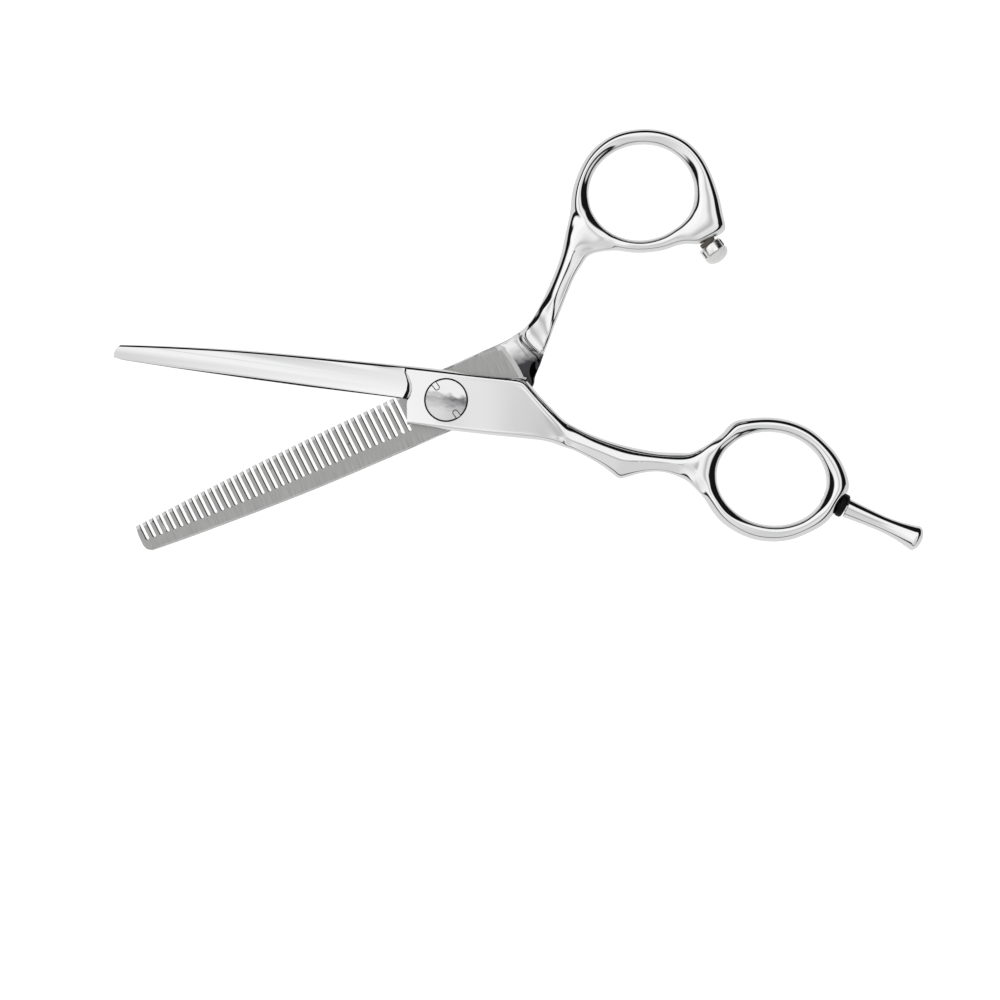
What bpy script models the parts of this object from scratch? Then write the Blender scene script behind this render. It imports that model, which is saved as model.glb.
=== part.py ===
"""Hairdresser's thinning shears, 6 inch: a straight cutting half and a comb half on a screw pivot.

The shears lie flat. Z is the pivot axis, with Z = 0 at the surface they lie on, and X runs from the
blade tips to the finger rings. The straight half lies along X. The comb half is modelled closed in
its own frame and then swung open by OPEN_ANGLE. Tables are in millimetres; meshes are in metres.
"""
import math

import bmesh
import bpy
from mathutils import Matrix, Vector

MM = 0.001

# Whole shears
OPEN_ANGLE = 30.0            # degrees between this open pose and fully closed
MID_Z = 2.95                 # height of the plane between the halves
RING_HALF_HEIGHT = 2.92      # half the height of both finger rings
SMOOTH_LEVEL = 1             # subdivision of the forged bodies

# Straight half: heights of its faces
UPPER_INNER_Z = 3.0          # ride face, towards the comb half
UPPER_OUTER_Z = 5.4          # flat outer face round the pivot
UPPER_RIM_Z = 4.35           # top of the side wall
FACET_Z = 3.42               # outer face of the blade, at FACET_Y
FACET_Y = -1.5
FACET_SLOPE = 0.2            # rise of that face towards the spine
GRIND_ALLOWANCE = 0.1        # extra stock that the facet cut takes off

# Comb half
LOWER_INNER_Z = 2.9
LOWER_OUTER_Z = 0.3
LOWER_RIM_Z = 1.2
COMB_FACET_Z = 0.95          # outer face of the comb, at COMB_FACET_Y
COMB_FACET_Y = -6.2
COMB_FACET_SLOPE = 0.13
LEAF_Z = 4.9                 # flat on top of the thumb shank, beyond the ride face
SLOT_COUNT = 40
SLOT_PITCH = 1.463
SLOT_WIDTH = 0.55
FIRST_SLOT_X = -66.65
# Line of the tooth tips, slightly bowed, and line of the slot floors, in the comb half's frame
TOOTH_LINE = ((-67.8, -0.75), (-54.0, 0.72), (-40.0, 2.1), (-25.0, 3.3), (-8.0, 4.4))
SLOT_FLOOR = ((-67.0, -4.1), (-52.0, -4.2), (-40.0, -4.1), (-25.0, -3.6), (-9.0, -3.1))

# Finger rings: centre, half axes of the hole, tilt of its long axis in degrees
FINGER_RING = ((67.38, -5.98), (11.11, 9.37), -2.2)
THUMB_RING = ((52.10, 24.62), (10.68, 9.66), -12.0)

# Pivot
SCREW_HEAD_RADIUS = 4.4
SCREW_SHANK_RADIUS = 1.7
COUNTERBORE_RADIUS = 4.65
COUNTERBORE_FLOOR_Z = 3.9
PIVOT_BORE_RADIUS = 2.65
NUT_POCKET_RADIUS = 3.8
NUT_POCKET_ROOF_Z = 1.6
WASHER_POCKET_RADIUS = 4.1
WASHER_POCKET_FLOOR_Z = 2.5
CLEARANCE = 0.05             # running clearance at the pivot

# Finger rest, along its own axis from the outer face of its rubber washer
REST_ORIGIN = (83.42, -9.62)
REST_ANGLE = -15.2
REST_WASHER_CENTRE = (82.55, -9.25)
REST_WASHER_ANGLE = -20.0
STUD_RADIUS = 1.0

# Bumper, comb half's frame: centre of the joint between collar and cap, and outward direction
BUMPER_ORIGIN = (61.5, 7.95)
BUMPER_ANGLE = -74.0
BUMPER_RADIUS = 2.5

RIDGE_HALF_WIDTH = 0.12      # the ridge of a shank is a narrow flat


# ---------------------------------------------------------------- small helpers

def lerp(a, b, t):
    """Point at fraction t of the way from a to b."""
    return tuple(p + (q - p) * t for p, q in zip(a, b))


def toward(a, b, distance):
    """Point at this distance from a on the way to b."""
    return lerp(a, b, distance / math.dist(a, b))


def along(points, x):
    """Height at x of the line through points that are sorted by x."""
    for (x0, y0), (x1, y1) in zip(points, points[1:]):
        if x <= x1:
            return y0 + (y1 - y0) * (x - x0) / (x1 - x0)
    return points[-1][1]


def material(name, colour, metallic, roughness):
    mat = bpy.data.materials.new(name)
    mat.use_nodes = True
    shader = mat.node_tree.nodes["Principled BSDF"]
    shader.inputs["Base Color"].default_value = (*colour, 1.0)
    shader.inputs["Metallic"].default_value = metallic
    shader.inputs["Roughness"].default_value = roughness
    mat.diffuse_color = (*colour, 1.0)
    return mat


def add_object(name, mesh, mat=None, parent=None):
    obj = bpy.data.objects.new(name, mesh)
    bpy.context.scene.collection.objects.link(obj)
    if mat:
        mesh.materials.append(mat)
    obj.parent = parent
    return obj


def mesh_from(name, points, faces, smooth_angle=None):
    """Mesh in metres from points in millimetres, with its faces turned outwards."""
    bm = bmesh.new()
    verts = [bm.verts.new(Vector(p) * MM) for p in points]
    for face in faces:
        bm.faces.new([verts[i] for i in face])
    bmesh.ops.recalc_face_normals(bm, faces=bm.faces[:])
    mesh = bpy.data.meshes.new(name)
    bm.to_mesh(mesh)
    bm.free()
    if smooth_angle:
        mesh.shade_smooth()
        mesh.set_sharp_from_angle(angle=math.radians(smooth_angle))
    return mesh


def as_cutter(obj):
    obj.hide_render = True
    obj.display_type = "WIRE"
    return obj


def merge_flats(obj):
    """Join the coplanar faces of the ground flats, and divide them evenly again."""
    planar = obj.modifiers.new("merge flats", "DECIMATE")
    planar.decimate_type = "DISSOLVE"
    planar.angle_limit = math.radians(0.4)
    triangles = obj.modifiers.new("triangles", "TRIANGULATE")
    triangles.ngon_method = "BEAUTY"


def cut(obj, cutter, name):
    boolean = obj.modifiers.new(name, "BOOLEAN")
    boolean.operation = "DIFFERENCE"
    boolean.solver = "EXACT"
    boolean.object = cutter


def prism(name, outline, z_low, z_high, parent=None):
    """Upright prism over a plan outline."""
    count = len(outline)
    points = [(x, y, z) for z in (z_low, z_high) for x, y in outline]
    faces = [tuple(range(count)), tuple(range(2 * count - 1, count - 1, -1))]
    faces += [(i, (i + 1) % count, count + (i + 1) % count, count + i) for i in range(count)]
    return add_object(name, mesh_from(name, points, faces), parent=parent)


def turned_mesh(name, profile, segments, smooth_angle=35):
    """Solid of revolution of a closed (radius, height) outline about Z."""
    points, rings = [], []
    for radius, height in profile:
        if radius == 0:
            rings.append([len(points)] * segments)
            points.append((0, 0, height))
            continue
        rings.append(list(range(len(points), len(points) + segments)))
        for i in range(segments):
            turn = 2 * math.pi * i / segments
            points.append((radius * math.cos(turn), radius * math.sin(turn), height))
    faces = []
    for low, high in zip(rings, rings[1:] + rings[:1]):
        for i in range(segments):
            j = (i + 1) % segments
            corners = dict.fromkeys((low[i], low[j], high[j], high[i]))
            if len(corners) > 2:
                faces.append(tuple(corners))
    return mesh_from(name, points, faces, smooth_angle)


def turned(name, profile, segments, mat=None, parent=None):
    return add_object(name, turned_mesh(name, profile, segments), mat, parent)


def axis_empty(name, origin, angle, parent=None):
    """Empty at mid height whose Z axis points along a plan direction."""
    empty = bpy.data.objects.new(name, None)
    bpy.context.scene.collection.objects.link(empty)
    direction = Vector((math.cos(math.radians(angle)), math.sin(math.radians(angle)), 0))
    across = Vector((0, 0, 1)).cross(direction)
    basis = Matrix((across, Vector((0, 0, 1)), direction)).transposed().to_4x4()
    empty.matrix_world = Matrix.Translation(Vector((*origin, MID_Z)) * MM) @ basis
    empty.parent = parent
    return empty


# ---------------------------------------------------------------- forged bodies

def edge_row(upper, flat_upper, flat_lower, lower, flat_z, rim_z, fullness=0.68):
    """Eight points across one side of a section: rim, slope, flat or ridge, slope, rim.

    flat_z and rim_z are a height, or the pair of heights at the upper and the lower edge.
    """
    flat = flat_z if isinstance(flat_z, tuple) else (flat_z, flat_z)
    rim = rim_z if isinstance(rim_z, tuple) else (rim_z, rim_z)
    row = [(*upper, rim[0])]
    row.append((*lerp(upper, flat_upper, 0.45), rim[0] + (flat[0] - rim[0]) * fullness))
    for step in range(4):
        height = flat[0] + (flat[1] - flat[0]) * step / 3
        row.append((*lerp(flat_upper, flat_lower, step / 3), height))
    row.append((*lerp(lower, flat_lower, 0.45), rim[1] + (flat[1] - rim[1]) * fullness))
    row.append((*lower, rim[1]))
    return row


def inset_row(upper, lower, flat_z, rim_z, inset=0.5):
    """Eight points across a flat side whose edges are only slightly broken."""
    return edge_row(upper, toward(upper, lower, inset), toward(lower, upper, inset), lower,
                    flat_z, rim_z)


def spar(upper, ridge, lower, ridge_half, rim_half, under_half=None):
    """Section of a shank: two slopes that meet at a ridge, above and below the mid plane."""
    near = toward(ridge, upper, RIDGE_HALF_WIDTH)
    far = toward(ridge, lower, RIDGE_HALF_WIDTH)
    under = ridge_half if under_half is None else under_half
    under_rim = min(rim_half, under * 0.5)
    top = edge_row(upper, near, far, lower, MID_Z + ridge_half, MID_Z + rim_half)
    bottom = edge_row(upper, near, far, lower, MID_Z - under, MID_Z - under_rim)
    return top, bottom


def web(upper, ridge, lower, half):
    """Section where a shank opens into its ring: low and round, with no ridge."""
    rows = []
    for side in (1, -1):
        shoulder = MID_Z + side * (half - 0.2)
        row = edge_row(upper, lerp(ridge, upper, 0.5), lerp(ridge, lower, 0.5), lower, shoulder,
                       MID_Z + side * 0.35 * half, 0.7)
        row[3] = (*row[3][:2], MID_Z + side * half)
        row[4] = (*row[4][:2], MID_Z + side * half)
        rows.append(row)
    return tuple(rows)


def ring_frame(ring, angle):
    """Point on the edge of a ring's hole at this angle, and the way out from it."""
    (cx, cy), (a, b), tilt = ring
    turn, lean = math.radians(angle), math.radians(tilt)
    px, py = a * math.cos(turn), b * math.sin(turn)
    nx, ny = math.cos(turn) / a, math.sin(turn) / b
    size = math.hypot(nx, ny)
    rotate = lambda x, y: (x * math.cos(lean) - y * math.sin(lean),
                           x * math.sin(lean) + y * math.cos(lean))
    rx, ry = rotate(px, py)
    return (cx + rx, cy + ry), rotate(nx / size, ny / size)


def ring_section(ring, angle, width, tube):
    """Eight points round the ring's tube, from its outer top edge inwards and back."""
    (x, y), (nx, ny) = ring_frame(ring, angle)
    half = width / 2
    points = []
    for r, z in tube + tuple((r, -z) for r, z in reversed(tube)):
        reach = half + r * half
        points.append((x + nx * reach, y + ny * reach, MID_Z + z * RING_HALF_HEIGHT))
    return points


def forging_mesh(name, sections, ring, joined, free, creases):
    """Cage of one half: sections from the tip to the shank, then a ring grown from its end.

    joined and free list the ring's stations as (angle, width, rim); the shank's eight lines run
    into the joined ones. creases is {(line, first, last): sharpness}, with lines 0-7 across the
    top and 8-15 back across the bottom, and ("across", station): sharpness for a whole station.
    """
    points, faces = [], []
    for top, bottom in sections:
        points += top + bottom[::-1]
    around = 16
    count = len(sections)
    for s in range(count - 1):
        for j in range(around):
            k = (j + 1) % around
            faces.append((s * around + j, s * around + k, (s + 1) * around + k,
                          (s + 1) * around + j))
    faces += [(j, j + 1, 14 - j, 15 - j) for j in range(7)]
    base = len(points)
    stations = joined + free
    for angle, width, tube in stations:
        points += ring_section(ring, angle, width, tube)
    total = len(stations)
    last = (count - 1) * around
    outer_top = [base + 8 * i for i in range(8)]
    outer_bottom = [base + 8 * i + 7 for i in range(8)]
    ring_loop = outer_top + outer_bottom[::-1]
    for j in range(around):
        k = (j + 1) % around
        faces.append((last + j, last + k, ring_loop[k], ring_loop[j]))
    for s in range(total):
        t = (s + 1) % total
        for j in range(8):
            if j == 7 and s < 7:
                continue
            k = (j + 1) % 8
            faces.append((base + 8 * s + j, base + 8 * s + k, base + 8 * t + k, base + 8 * t + j))
    mesh = mesh_from(name, points, faces)
    weights = mesh.attributes.new("crease_edge", "FLOAT", "EDGE")
    for edge in mesh.edges:
        low, high = sorted(edge.vertices)
        if high >= base:
            continue
        (s0, j0), (s1, j1) = divmod(low, around), divmod(high, around)
        for (line, first, final), sharpness in creases.items():
            if line == "across":
                same = s0 == s1 and first <= j0 <= final and first <= j1 <= final
                if same and s0 == sharpness[0]:
                    weights.data[edge.index].value = sharpness[1]
            elif j0 == j1 == line and first <= s0 and s1 <= final:
                weights.data[edge.index].value = sharpness
    return mesh


def smooth_through(obj, level, rounds=14):
    """Add a subdivision surface and move the cage until the surface meets its first points."""
    subdivision = obj.modifiers.new("forged surface", "SUBSURF")
    subdivision.levels = subdivision.render_levels = 1
    targets = [vert.co.copy() for vert in obj.data.vertices]
    for _ in range(rounds):
        bpy.context.view_layer.update()
        surface = obj.evaluated_get(bpy.context.evaluated_depsgraph_get()).data
        reached = [surface.vertices[i].co.copy() for i in range(len(targets))]
        for vert, target, point in zip(obj.data.vertices, targets, reached):
            vert.co += target - point
    subdivision.levels = subdivision.render_levels = level


# ---------------------------------------------------------------- straight half

def facet_z(y):
    return FACET_Z + FACET_SLOPE * (y - FACET_Y)


# Stations of the straight half's plate: upper rim, upper and lower edge of the flat, lower rim
BLADE_STATIONS = [
    ((-69.5, 0.9), (-69.5, 0.1), (-69.5, -5.2), (-69.5, -6.0)),
    ((-60.0, 2.1), (-60.0, 1.2), (-60.0, -5.2), (-60.0, -6.0)),
    ((-45.0, 3.62), (-45.0, 2.65), (-45.0, -5.2), (-45.0, -6.0)),
    ((-30.0, 4.6), (-30.0, 3.5), (-30.0, -5.2), (-30.0, -6.0)),
    ((-16.0, 5.3), (-16.0, 4.1), (-16.0, -5.2), (-16.0, -6.0)),
]
RICASSO_STATIONS = [
    ((-5.5, 5.8), (-5.5, 4.5), (-5.5, -5.1), (-5.5, -5.98)),
    ((3.0, 6.1), (3.0, 4.8), (3.0, -4.95), (3.0, -5.82)),
    ((9.8, 6.38), (9.6, 5.05), (10.5, -4.65), (10.5, -5.55)),
    ((14.6, 6.55), (13.6, 4.95), (15.6, -4.27), (15.4, -5.33)),
    ((16.9, 5.0), (15.8, 3.85), (19.2, -4.02), (19.0, -5.16)),
    ((20.7, 1.9), (19.4, 0.65), (22.0, -3.97), (21.8, -5.22)),
]
# Stations of the finger shank: upper rim, ridge, lower rim
FINGER_SHANK = [
    ((27.9, -2.05), (27.6, -4.45), (27.0, -6.12)),
    ((31.0, -2.88), (30.2, -5.05), (29.6, -6.95)),
    ((34.2, -3.5), (33.6, -5.85), (33.1, -8.3)),
    ((36.4, -3.82), (36.0, -6.45), (35.6, -9.62)),
    ((37.6, -3.95), (37.3, -6.6), (36.9, -10.2)),
    ((39.0, -4.05), (38.8, -6.5), (38.3, -9.85)),
    ((41.8, -4.12), (41.6, -6.15), (41.2, -8.62)),
    ((45.2, -4.02), (45.2, -5.88), (45.2, -7.8)),
    ((48.5, -3.62), (48.7, -5.75), (48.9, -8.25)),
    ((51.3, -2.82), (51.5, -5.3), (51.5, -9.4)),
]
# Upper half of a ring's section, from outside in: fractions of its half width and half height
FINGER_TUBE = ((0.88, 0.52), (0.10, 0.97), (-0.58, 0.78), (-0.93, 0.42))
THUMB_TUBE = ((0.90, 0.56), (0.18, 0.97), (-0.50, 0.77), (-0.93, 0.45))
# Where the shank joins the ring, its crest is lower and its outer edge rises to meet the web
JOINED_CREST = (0.18, 0.915)
JOINED_RIM = [(0.93, 0.45), (0.96, 0.72), (1.0, 0.88), (1.05, 0.91), (1.05, 0.91), (1.0, 0.88),
              (0.96, 0.72), (0.93, 0.45)]
FINGER_JOINED = [(152, 3.0), (160, 3.3), (168, 3.6), (176, 3.7), (184, 3.7), (192, 3.7),
                 (200, 3.6), (208, 3.5)]
FINGER_FREE = [(218, 3.3), (232, 3.37), (248, 3.35), (264, 3.38), (280, 3.3), (296, 3.22),
               (312, 3.12), (326, 3.38), (337, 3.5), (345, 3.5), (352, 3.72), (359, 4.3),
               (6, 4.62), (16, 4.2), (30, 3.6), (46, 3.08), (64, 3.0), (82, 2.93), (98, 2.93),
               (112, 3.05), (123, 3.35), (131, 3.62), (139, 3.3)]
# Plan of the ground outline: tip and cutting edge of the straight blade
BLADE_TIP = [(-66.2, 3.0), (-66.7, 1.35), (-67.45, 0.55), (-67.8, -0.4), (-67.75, -1.4)]
CUTTING_EDGE = [(-66.0, -1.6), (-55.0, -1.68), (-40.0, -1.6), (-28.0, -1.45), (-18.0, -1.2),
                (-8.0, -0.95)]
HEEL = [(-7.9, -1.0), (-7.02, -6.1)]
# Top edge of the step where the blade's facet ends, and how steep its wall is
STEP_EDGE = [(-8.9, 7.5), (-8.65, 4.6), (-8.25, 2.6), (-7.85, 0.3), (-7.7, -1.2), (-7.6, -8.0)]
STEP_RUN = 0.5
BEVEL_WIDTH = [(-68.0, 0.05), (-56.0, 0.08), (-46.0, 0.34), (-28.0, 0.36), (-16.0, 0.24),
               (-7.0, 0.16)]
BEVEL_RISE = 0.85            # slope of the bevel


def finger_sections():
    sections = []
    for station, (upper, flat_upper, flat_lower, lower) in enumerate(BLADE_STATIONS):
        flat = tuple(facet_z(p[1]) + GRIND_ALLOWANCE for p in (flat_upper, flat_lower))
        rim = UPPER_INNER_Z + 0.5 + 0.06 * station
        top = edge_row(upper, flat_upper, flat_lower, lower, (flat[0], flat[1] + 1.2), rim)
        bottom = inset_row(upper, lower, UPPER_INNER_Z, UPPER_INNER_Z + 0.25)
        sections.append((top, bottom))
    for upper, flat_upper, flat_lower, lower in RICASSO_STATIONS:
        top = edge_row(upper, flat_upper, flat_lower, lower, UPPER_OUTER_Z, UPPER_RIM_Z)
        bottom = inset_row(upper, lower, UPPER_INNER_Z, UPPER_INNER_Z + 0.35, 0.7)
        sections.append((top, bottom))
    sections.append(spar((23.6, -0.25), (23.6, -3.3), (24.1, -5.58), UPPER_OUTER_Z - MID_Z,
                         1.3, 1.0))
    top, bottom = sections[-1]
    flat = edge_row((23.6, -0.25), (22.6, -1.95), (23.9, -4.02), (24.1, -5.58), UPPER_OUTER_Z,
                    MID_Z + 1.3)
    sections[-1] = (flat, bottom)
    sections.append(spar((25.6, -1.28), (25.4, -3.92), (25.6, -5.85), UPPER_OUTER_Z - MID_Z,
                         1.2, 1.7))
    ridges = (2.45, 2.5, 2.55, 2.6, 2.62, 2.62, 2.62, 2.64, 2.66, 2.66)
    unders = (2.1, 2.4, 2.55, 2.6, 2.62, 2.62, 2.62, 2.64, 2.66, 2.66)
    for (upper, ridge, lower), high, low in zip(FINGER_SHANK[:-1], ridges, unders):
        sections.append(spar(upper, ridge, lower, high, 1.1, low))
    sections.append(web(*FINGER_SHANK[-1], 2.66))
    return sections


def finger_half(steel):
    sections = finger_sections()
    plates = len(BLADE_STATIONS) + len(RICASSO_STATIONS)
    joined = [(a, w, (rim, JOINED_CREST) + FINGER_TUBE[2:])
              for (a, w), rim in zip(FINGER_JOINED, JOINED_RIM)]
    free = [(a, w, FINGER_TUBE) for a, w in FINGER_FREE]
    creases = {}
    for line in (2, 5):
        creases[line, 0, plates + 8] = 1.0
        creases[line, plates + 8, plates + 10] = 0.6
    for line in (10, 13):
        creases[line, 0, plates - 1] = 1.0
    creases["across", 0, 15] = (0, 1.0)
    creases["across", 8, 15] = (plates - 1, 0.6)
    mesh = forging_mesh("finger_half", sections, FINGER_RING, joined, free, creases)
    body = add_object("finger_half", mesh, steel)
    smooth_through(body, SMOOTH_LEVEL)
    cut(body, facet_cutter(), "blade facet")
    cut(body, outline_cutter(), "blade outline")
    cut(body, bevel_cutter(), "cutting edge")
    cut(body, pivot_bores("finger pivot bore", COUNTERBORE_FLOOR_Z, 9.0), "pivot bore")
    stud = turned("finger rest hole", [(0, -7.5), (1.2, -7.5), (1.2, 1.0), (0, 1.0)], 20,
                  parent=axis_empty("finger rest hole axis", REST_ORIGIN, REST_ANGLE))
    cut(body, as_cutter(stud), "finger rest hole")
    merge_flats(body)
    return body


def facet_cutter():
    """Stock above the blade's outer face, up to the sloping step in front of the ricasso."""
    points, faces = [], []
    ceiling, far = 7.0, -75.0
    for x, y in STEP_EDGE:
        foot = facet_z(y)
        reach = STEP_RUN * (UPPER_OUTER_Z - foot)
        lift = STEP_RUN * (ceiling - UPPER_OUTER_Z)
        points += [(far, y, foot), (x - reach, y, foot), (x - reach * 0.42, y, foot + 0.32 *
                   (UPPER_OUTER_Z - foot)), (x + lift * 0.2, y, ceiling), (far, y, ceiling)]
    sides = 5
    for s in range(len(STEP_EDGE) - 1):
        for j in range(sides):
            k = (j + 1) % sides
            faces.append((s * sides + j, s * sides + k, (s + 1) * sides + k, (s + 1) * sides + j))
    faces.append(tuple(range(sides)))
    end = (len(STEP_EDGE) - 1) * sides
    faces.append(tuple(range(end + sides - 1, end - 1, -1)))
    return as_cutter(add_object("facet cutter", mesh_from("facet cutter", points, faces)))


def outline_cutter():
    """Stock outside the tip, the cutting edge and the front of the ricasso."""
    outline = BLADE_TIP + CUTTING_EDGE + HEEL + [(-7.0, -9.0), (-75.0, -9.0), (-75.0, 3.0)]
    return as_cutter(prism("outline cutter", outline, 1.5, 8.0))


def bevel_cutter():
    """Long wedge that leaves the narrow bevel along the cutting edge."""
    path = [(-69.0, -1.5)] + CUTTING_EDGE[:-1] + [(-9.0, -0.98)]
    points, faces = [], []
    for x, y in path:
        width = along(BEVEL_WIDTH, x)
        shoulder = facet_z(y + width)
        points += [(x, y - 1.0, shoulder - BEVEL_RISE * (width + 1.0)),
                   (x, y + width + 1.0, shoulder + BEVEL_RISE), (x, y - 1.0, 6.0)]
    for s in range(len(path) - 1):
        for j in range(3):
            k = (j + 1) % 3
            faces.append((s * 3 + j, s * 3 + k, s * 3 + 3 + k, s * 3 + 3 + j))
    faces += [(0, 1, 2), (3 * len(path) - 1, 3 * len(path) - 2, 3 * len(path) - 3)]
    return as_cutter(add_object("bevel cutter", mesh_from("bevel cutter", points, faces)))


def pivot_bores(name, floor, ceiling, parent=None):
    """Counterbore and bore of the upper half as one stepped cutter."""
    profile = [(0, 0.5), (PIVOT_BORE_RADIUS, 0.5), (PIVOT_BORE_RADIUS, floor),
               (COUNTERBORE_RADIUS, floor), (COUNTERBORE_RADIUS, ceiling), (0, ceiling)]
    return as_cutter(turned(name, profile, 48, parent=parent))


# ---------------------------------------------------------------- comb half

def comb_facet_z(y):
    return COMB_FACET_Z + COMB_FACET_SLOPE * (y - COMB_FACET_Y)


# Stations of the comb half's plate: upper rim and lower rim
COMB_STATIONS = [
    ((-69.5, 0.6), (-69.5, -6.3)), ((-60.0, 1.5), (-60.0, -6.72)), ((-45.0, 2.9), (-45.0, -7.0)),
    ((-30.0, 4.1), (-30.0, -7.02)), ((-16.0, 5.1), (-16.0, -6.65)), ((-5.5, 5.9), (-5.0, -6.25)),
    ((3.0, 6.15), (3.0, -6.0)), ((9.0, 6.45), (9.5, -5.85)),
]
# Upper side of the thumb half from the end of the ride face on: eight points across each station
RIDE_END = [(14.0, 6.65, 2.55), (14.4, 6.2, 2.82), (14.9, 5.0, 2.9), (15.6, 3.1, 2.9),
            (16.1, 0.9, 2.9), (16.3, -1.4, 2.9), (16.4, -2.9, 2.82), (16.5, -4.1, 2.5)]
RELIEF = [(16.6, 6.88, 2.45), (16.7, 6.4, 2.55), (17.0, 5.2, 2.45), (17.5, 3.6, 2.35),
          (18.0, 1.9, 2.3), (18.1, 0.2, 2.25), (18.0, -1.3, 2.15), (18.25, -2.35, 1.95)]
WALL_FOOT = [(18.7, 7.35, 2.75), (18.6, 6.9, 2.9), (18.5, 5.9, 2.55), (18.8, 4.7, 2.45),
             (19.6, 3.1, 2.4), (20.2, 1.6, 2.35), (20.0, 0.5, 2.25), (20.2, -0.25, 1.95)]
LEAF_START = [(20.4, 7.85, 3.8), (20.2, 7.5, 4.5), (19.75, 6.7, LEAF_Z), (19.75, 5.3, LEAF_Z),
              (20.3, 3.6, LEAF_Z), (21.1, 2.0, LEAF_Z), (21.35, 1.7, 4.6), (21.7, 1.45, 3.9)]
LEAF_MIDDLE = [(22.7, 9.2, 3.8), (22.8, 8.85, 4.5), (23.0, 8.2, LEAF_Z), (23.1, 6.9, LEAF_Z),
               (23.2, 5.6, LEAF_Z), (23.4, 4.3, LEAF_Z), (23.6, 3.95, 4.6), (23.85, 3.75, 3.9)]
LEAF_END = [(24.9, 11.0, 3.9), (25.05, 10.6, 4.5), (25.15, 9.9, LEAF_Z), (25.5, 9.0, LEAF_Z),
            (25.6, 8.0, LEAF_Z), (25.45, 6.9, LEAF_Z), (25.6, 6.5, 4.6), (25.95, 6.15, 3.9)]
THUMB_SHANK = [
    ((27.2, 13.1), (28.3, 11.7), (29.5, 10.0)),
    ((30.7, 16.7), (31.8, 15.3), (33.1, 13.7)),
    ((33.1, 19.7), (34.4, 18.0), (35.8, 15.8)),
    ((34.9, 22.5), (36.3, 19.9), (38.3, 16.8)),
]
THUMB_JOINED = [(187, 4.2), (194, 3.7), (201, 3.5), (208, 3.4), (215, 3.3), (222, 3.2),
                (229, 3.1), (236, 3.0)]
THUMB_FREE = [(246, 2.6), (258, 2.5), (270, 2.55), (282, 2.8), (292, 3.05), (301, 4.0),
              (308, 5.5), (315, 6.5), (321, 7.4), (327, 7.9), (334, 6.75), (344, 5.4),
              (356, 4.35), (8, 3.85), (22, 3.65), (38, 3.58), (54, 3.38), (70, 3.2), (86, 3.1),
              (102, 3.15), (118, 3.08), (134, 2.95), (149, 2.83), (163, 3.05), (175, 3.5)]
BOSS_RIM = (0.97, 0.62)      # squarer section where the bumper's boss stands on the ring
BOSS_STATIONS = (308, 315, 321)
# Plan of the clearance that lets the straight half's ricasso close against the thumb shank
CLOSING_RELIEF = [(19.2, 3.39), (20.83, 2.06), (23.73, -0.09), (22.5, -1.5), (18.0, 1.5)]
COMB_TIP = [(-67.9, -2.8), (-67.75, -4.9), (-67.35, -5.85), (-66.6, -6.3), (-65.8, -7.5)]


def thumb_sections():
    sections = []
    blades = 5
    for station, (upper, lower) in enumerate(COMB_STATIONS):
        top = inset_row(upper, lower, LOWER_INNER_Z, LOWER_INNER_Z - 0.2, 0.35)
        if station < blades:
            flat = [comb_facet_z(y) - GRIND_ALLOWANCE for y in (upper[1], lower[1] + 0.8)]
            bottom = edge_row(upper, toward(upper, lower, 0.5), toward(lower, upper, 0.8), lower,
                              tuple(flat), (flat[0] + 0.1, 1.55))
        else:
            bottom = edge_row(upper, toward(upper, lower, 1.2), toward(lower, upper, 1.2), lower,
                              LOWER_OUTER_Z, LOWER_RIM_Z)
        sections.append((top, bottom))
    unders = ((LOWER_OUTER_Z, LOWER_RIM_Z, 1.2), (LOWER_OUTER_Z, LOWER_RIM_Z, 1.4),
              (LOWER_OUTER_Z, 1.15, 1.6), (LOWER_OUTER_Z, 1.3, 1.5), (LOWER_OUTER_Z, 1.5, 1.4),
              (LOWER_OUTER_Z, 1.7, 1.5))
    rows = (RIDE_END, RELIEF, WALL_FOOT, LEAF_START, LEAF_MIDDLE, LEAF_END)
    for row, (flat, rim, inset) in zip(rows, unders):
        upper, lower = row[0][:2], row[-1][:2]
        bottom = edge_row(upper, toward(upper, lower, inset), toward(lower, upper, inset), lower,
                          flat, rim)
        sections.append((list(row), bottom))
    for upper, ridge, lower in THUMB_SHANK[:-1]:
        sections.append(spar(upper, ridge, lower, 2.62, 1.1))
    sections.append(web(*THUMB_SHANK[-1], 2.62))
    return sections


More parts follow.
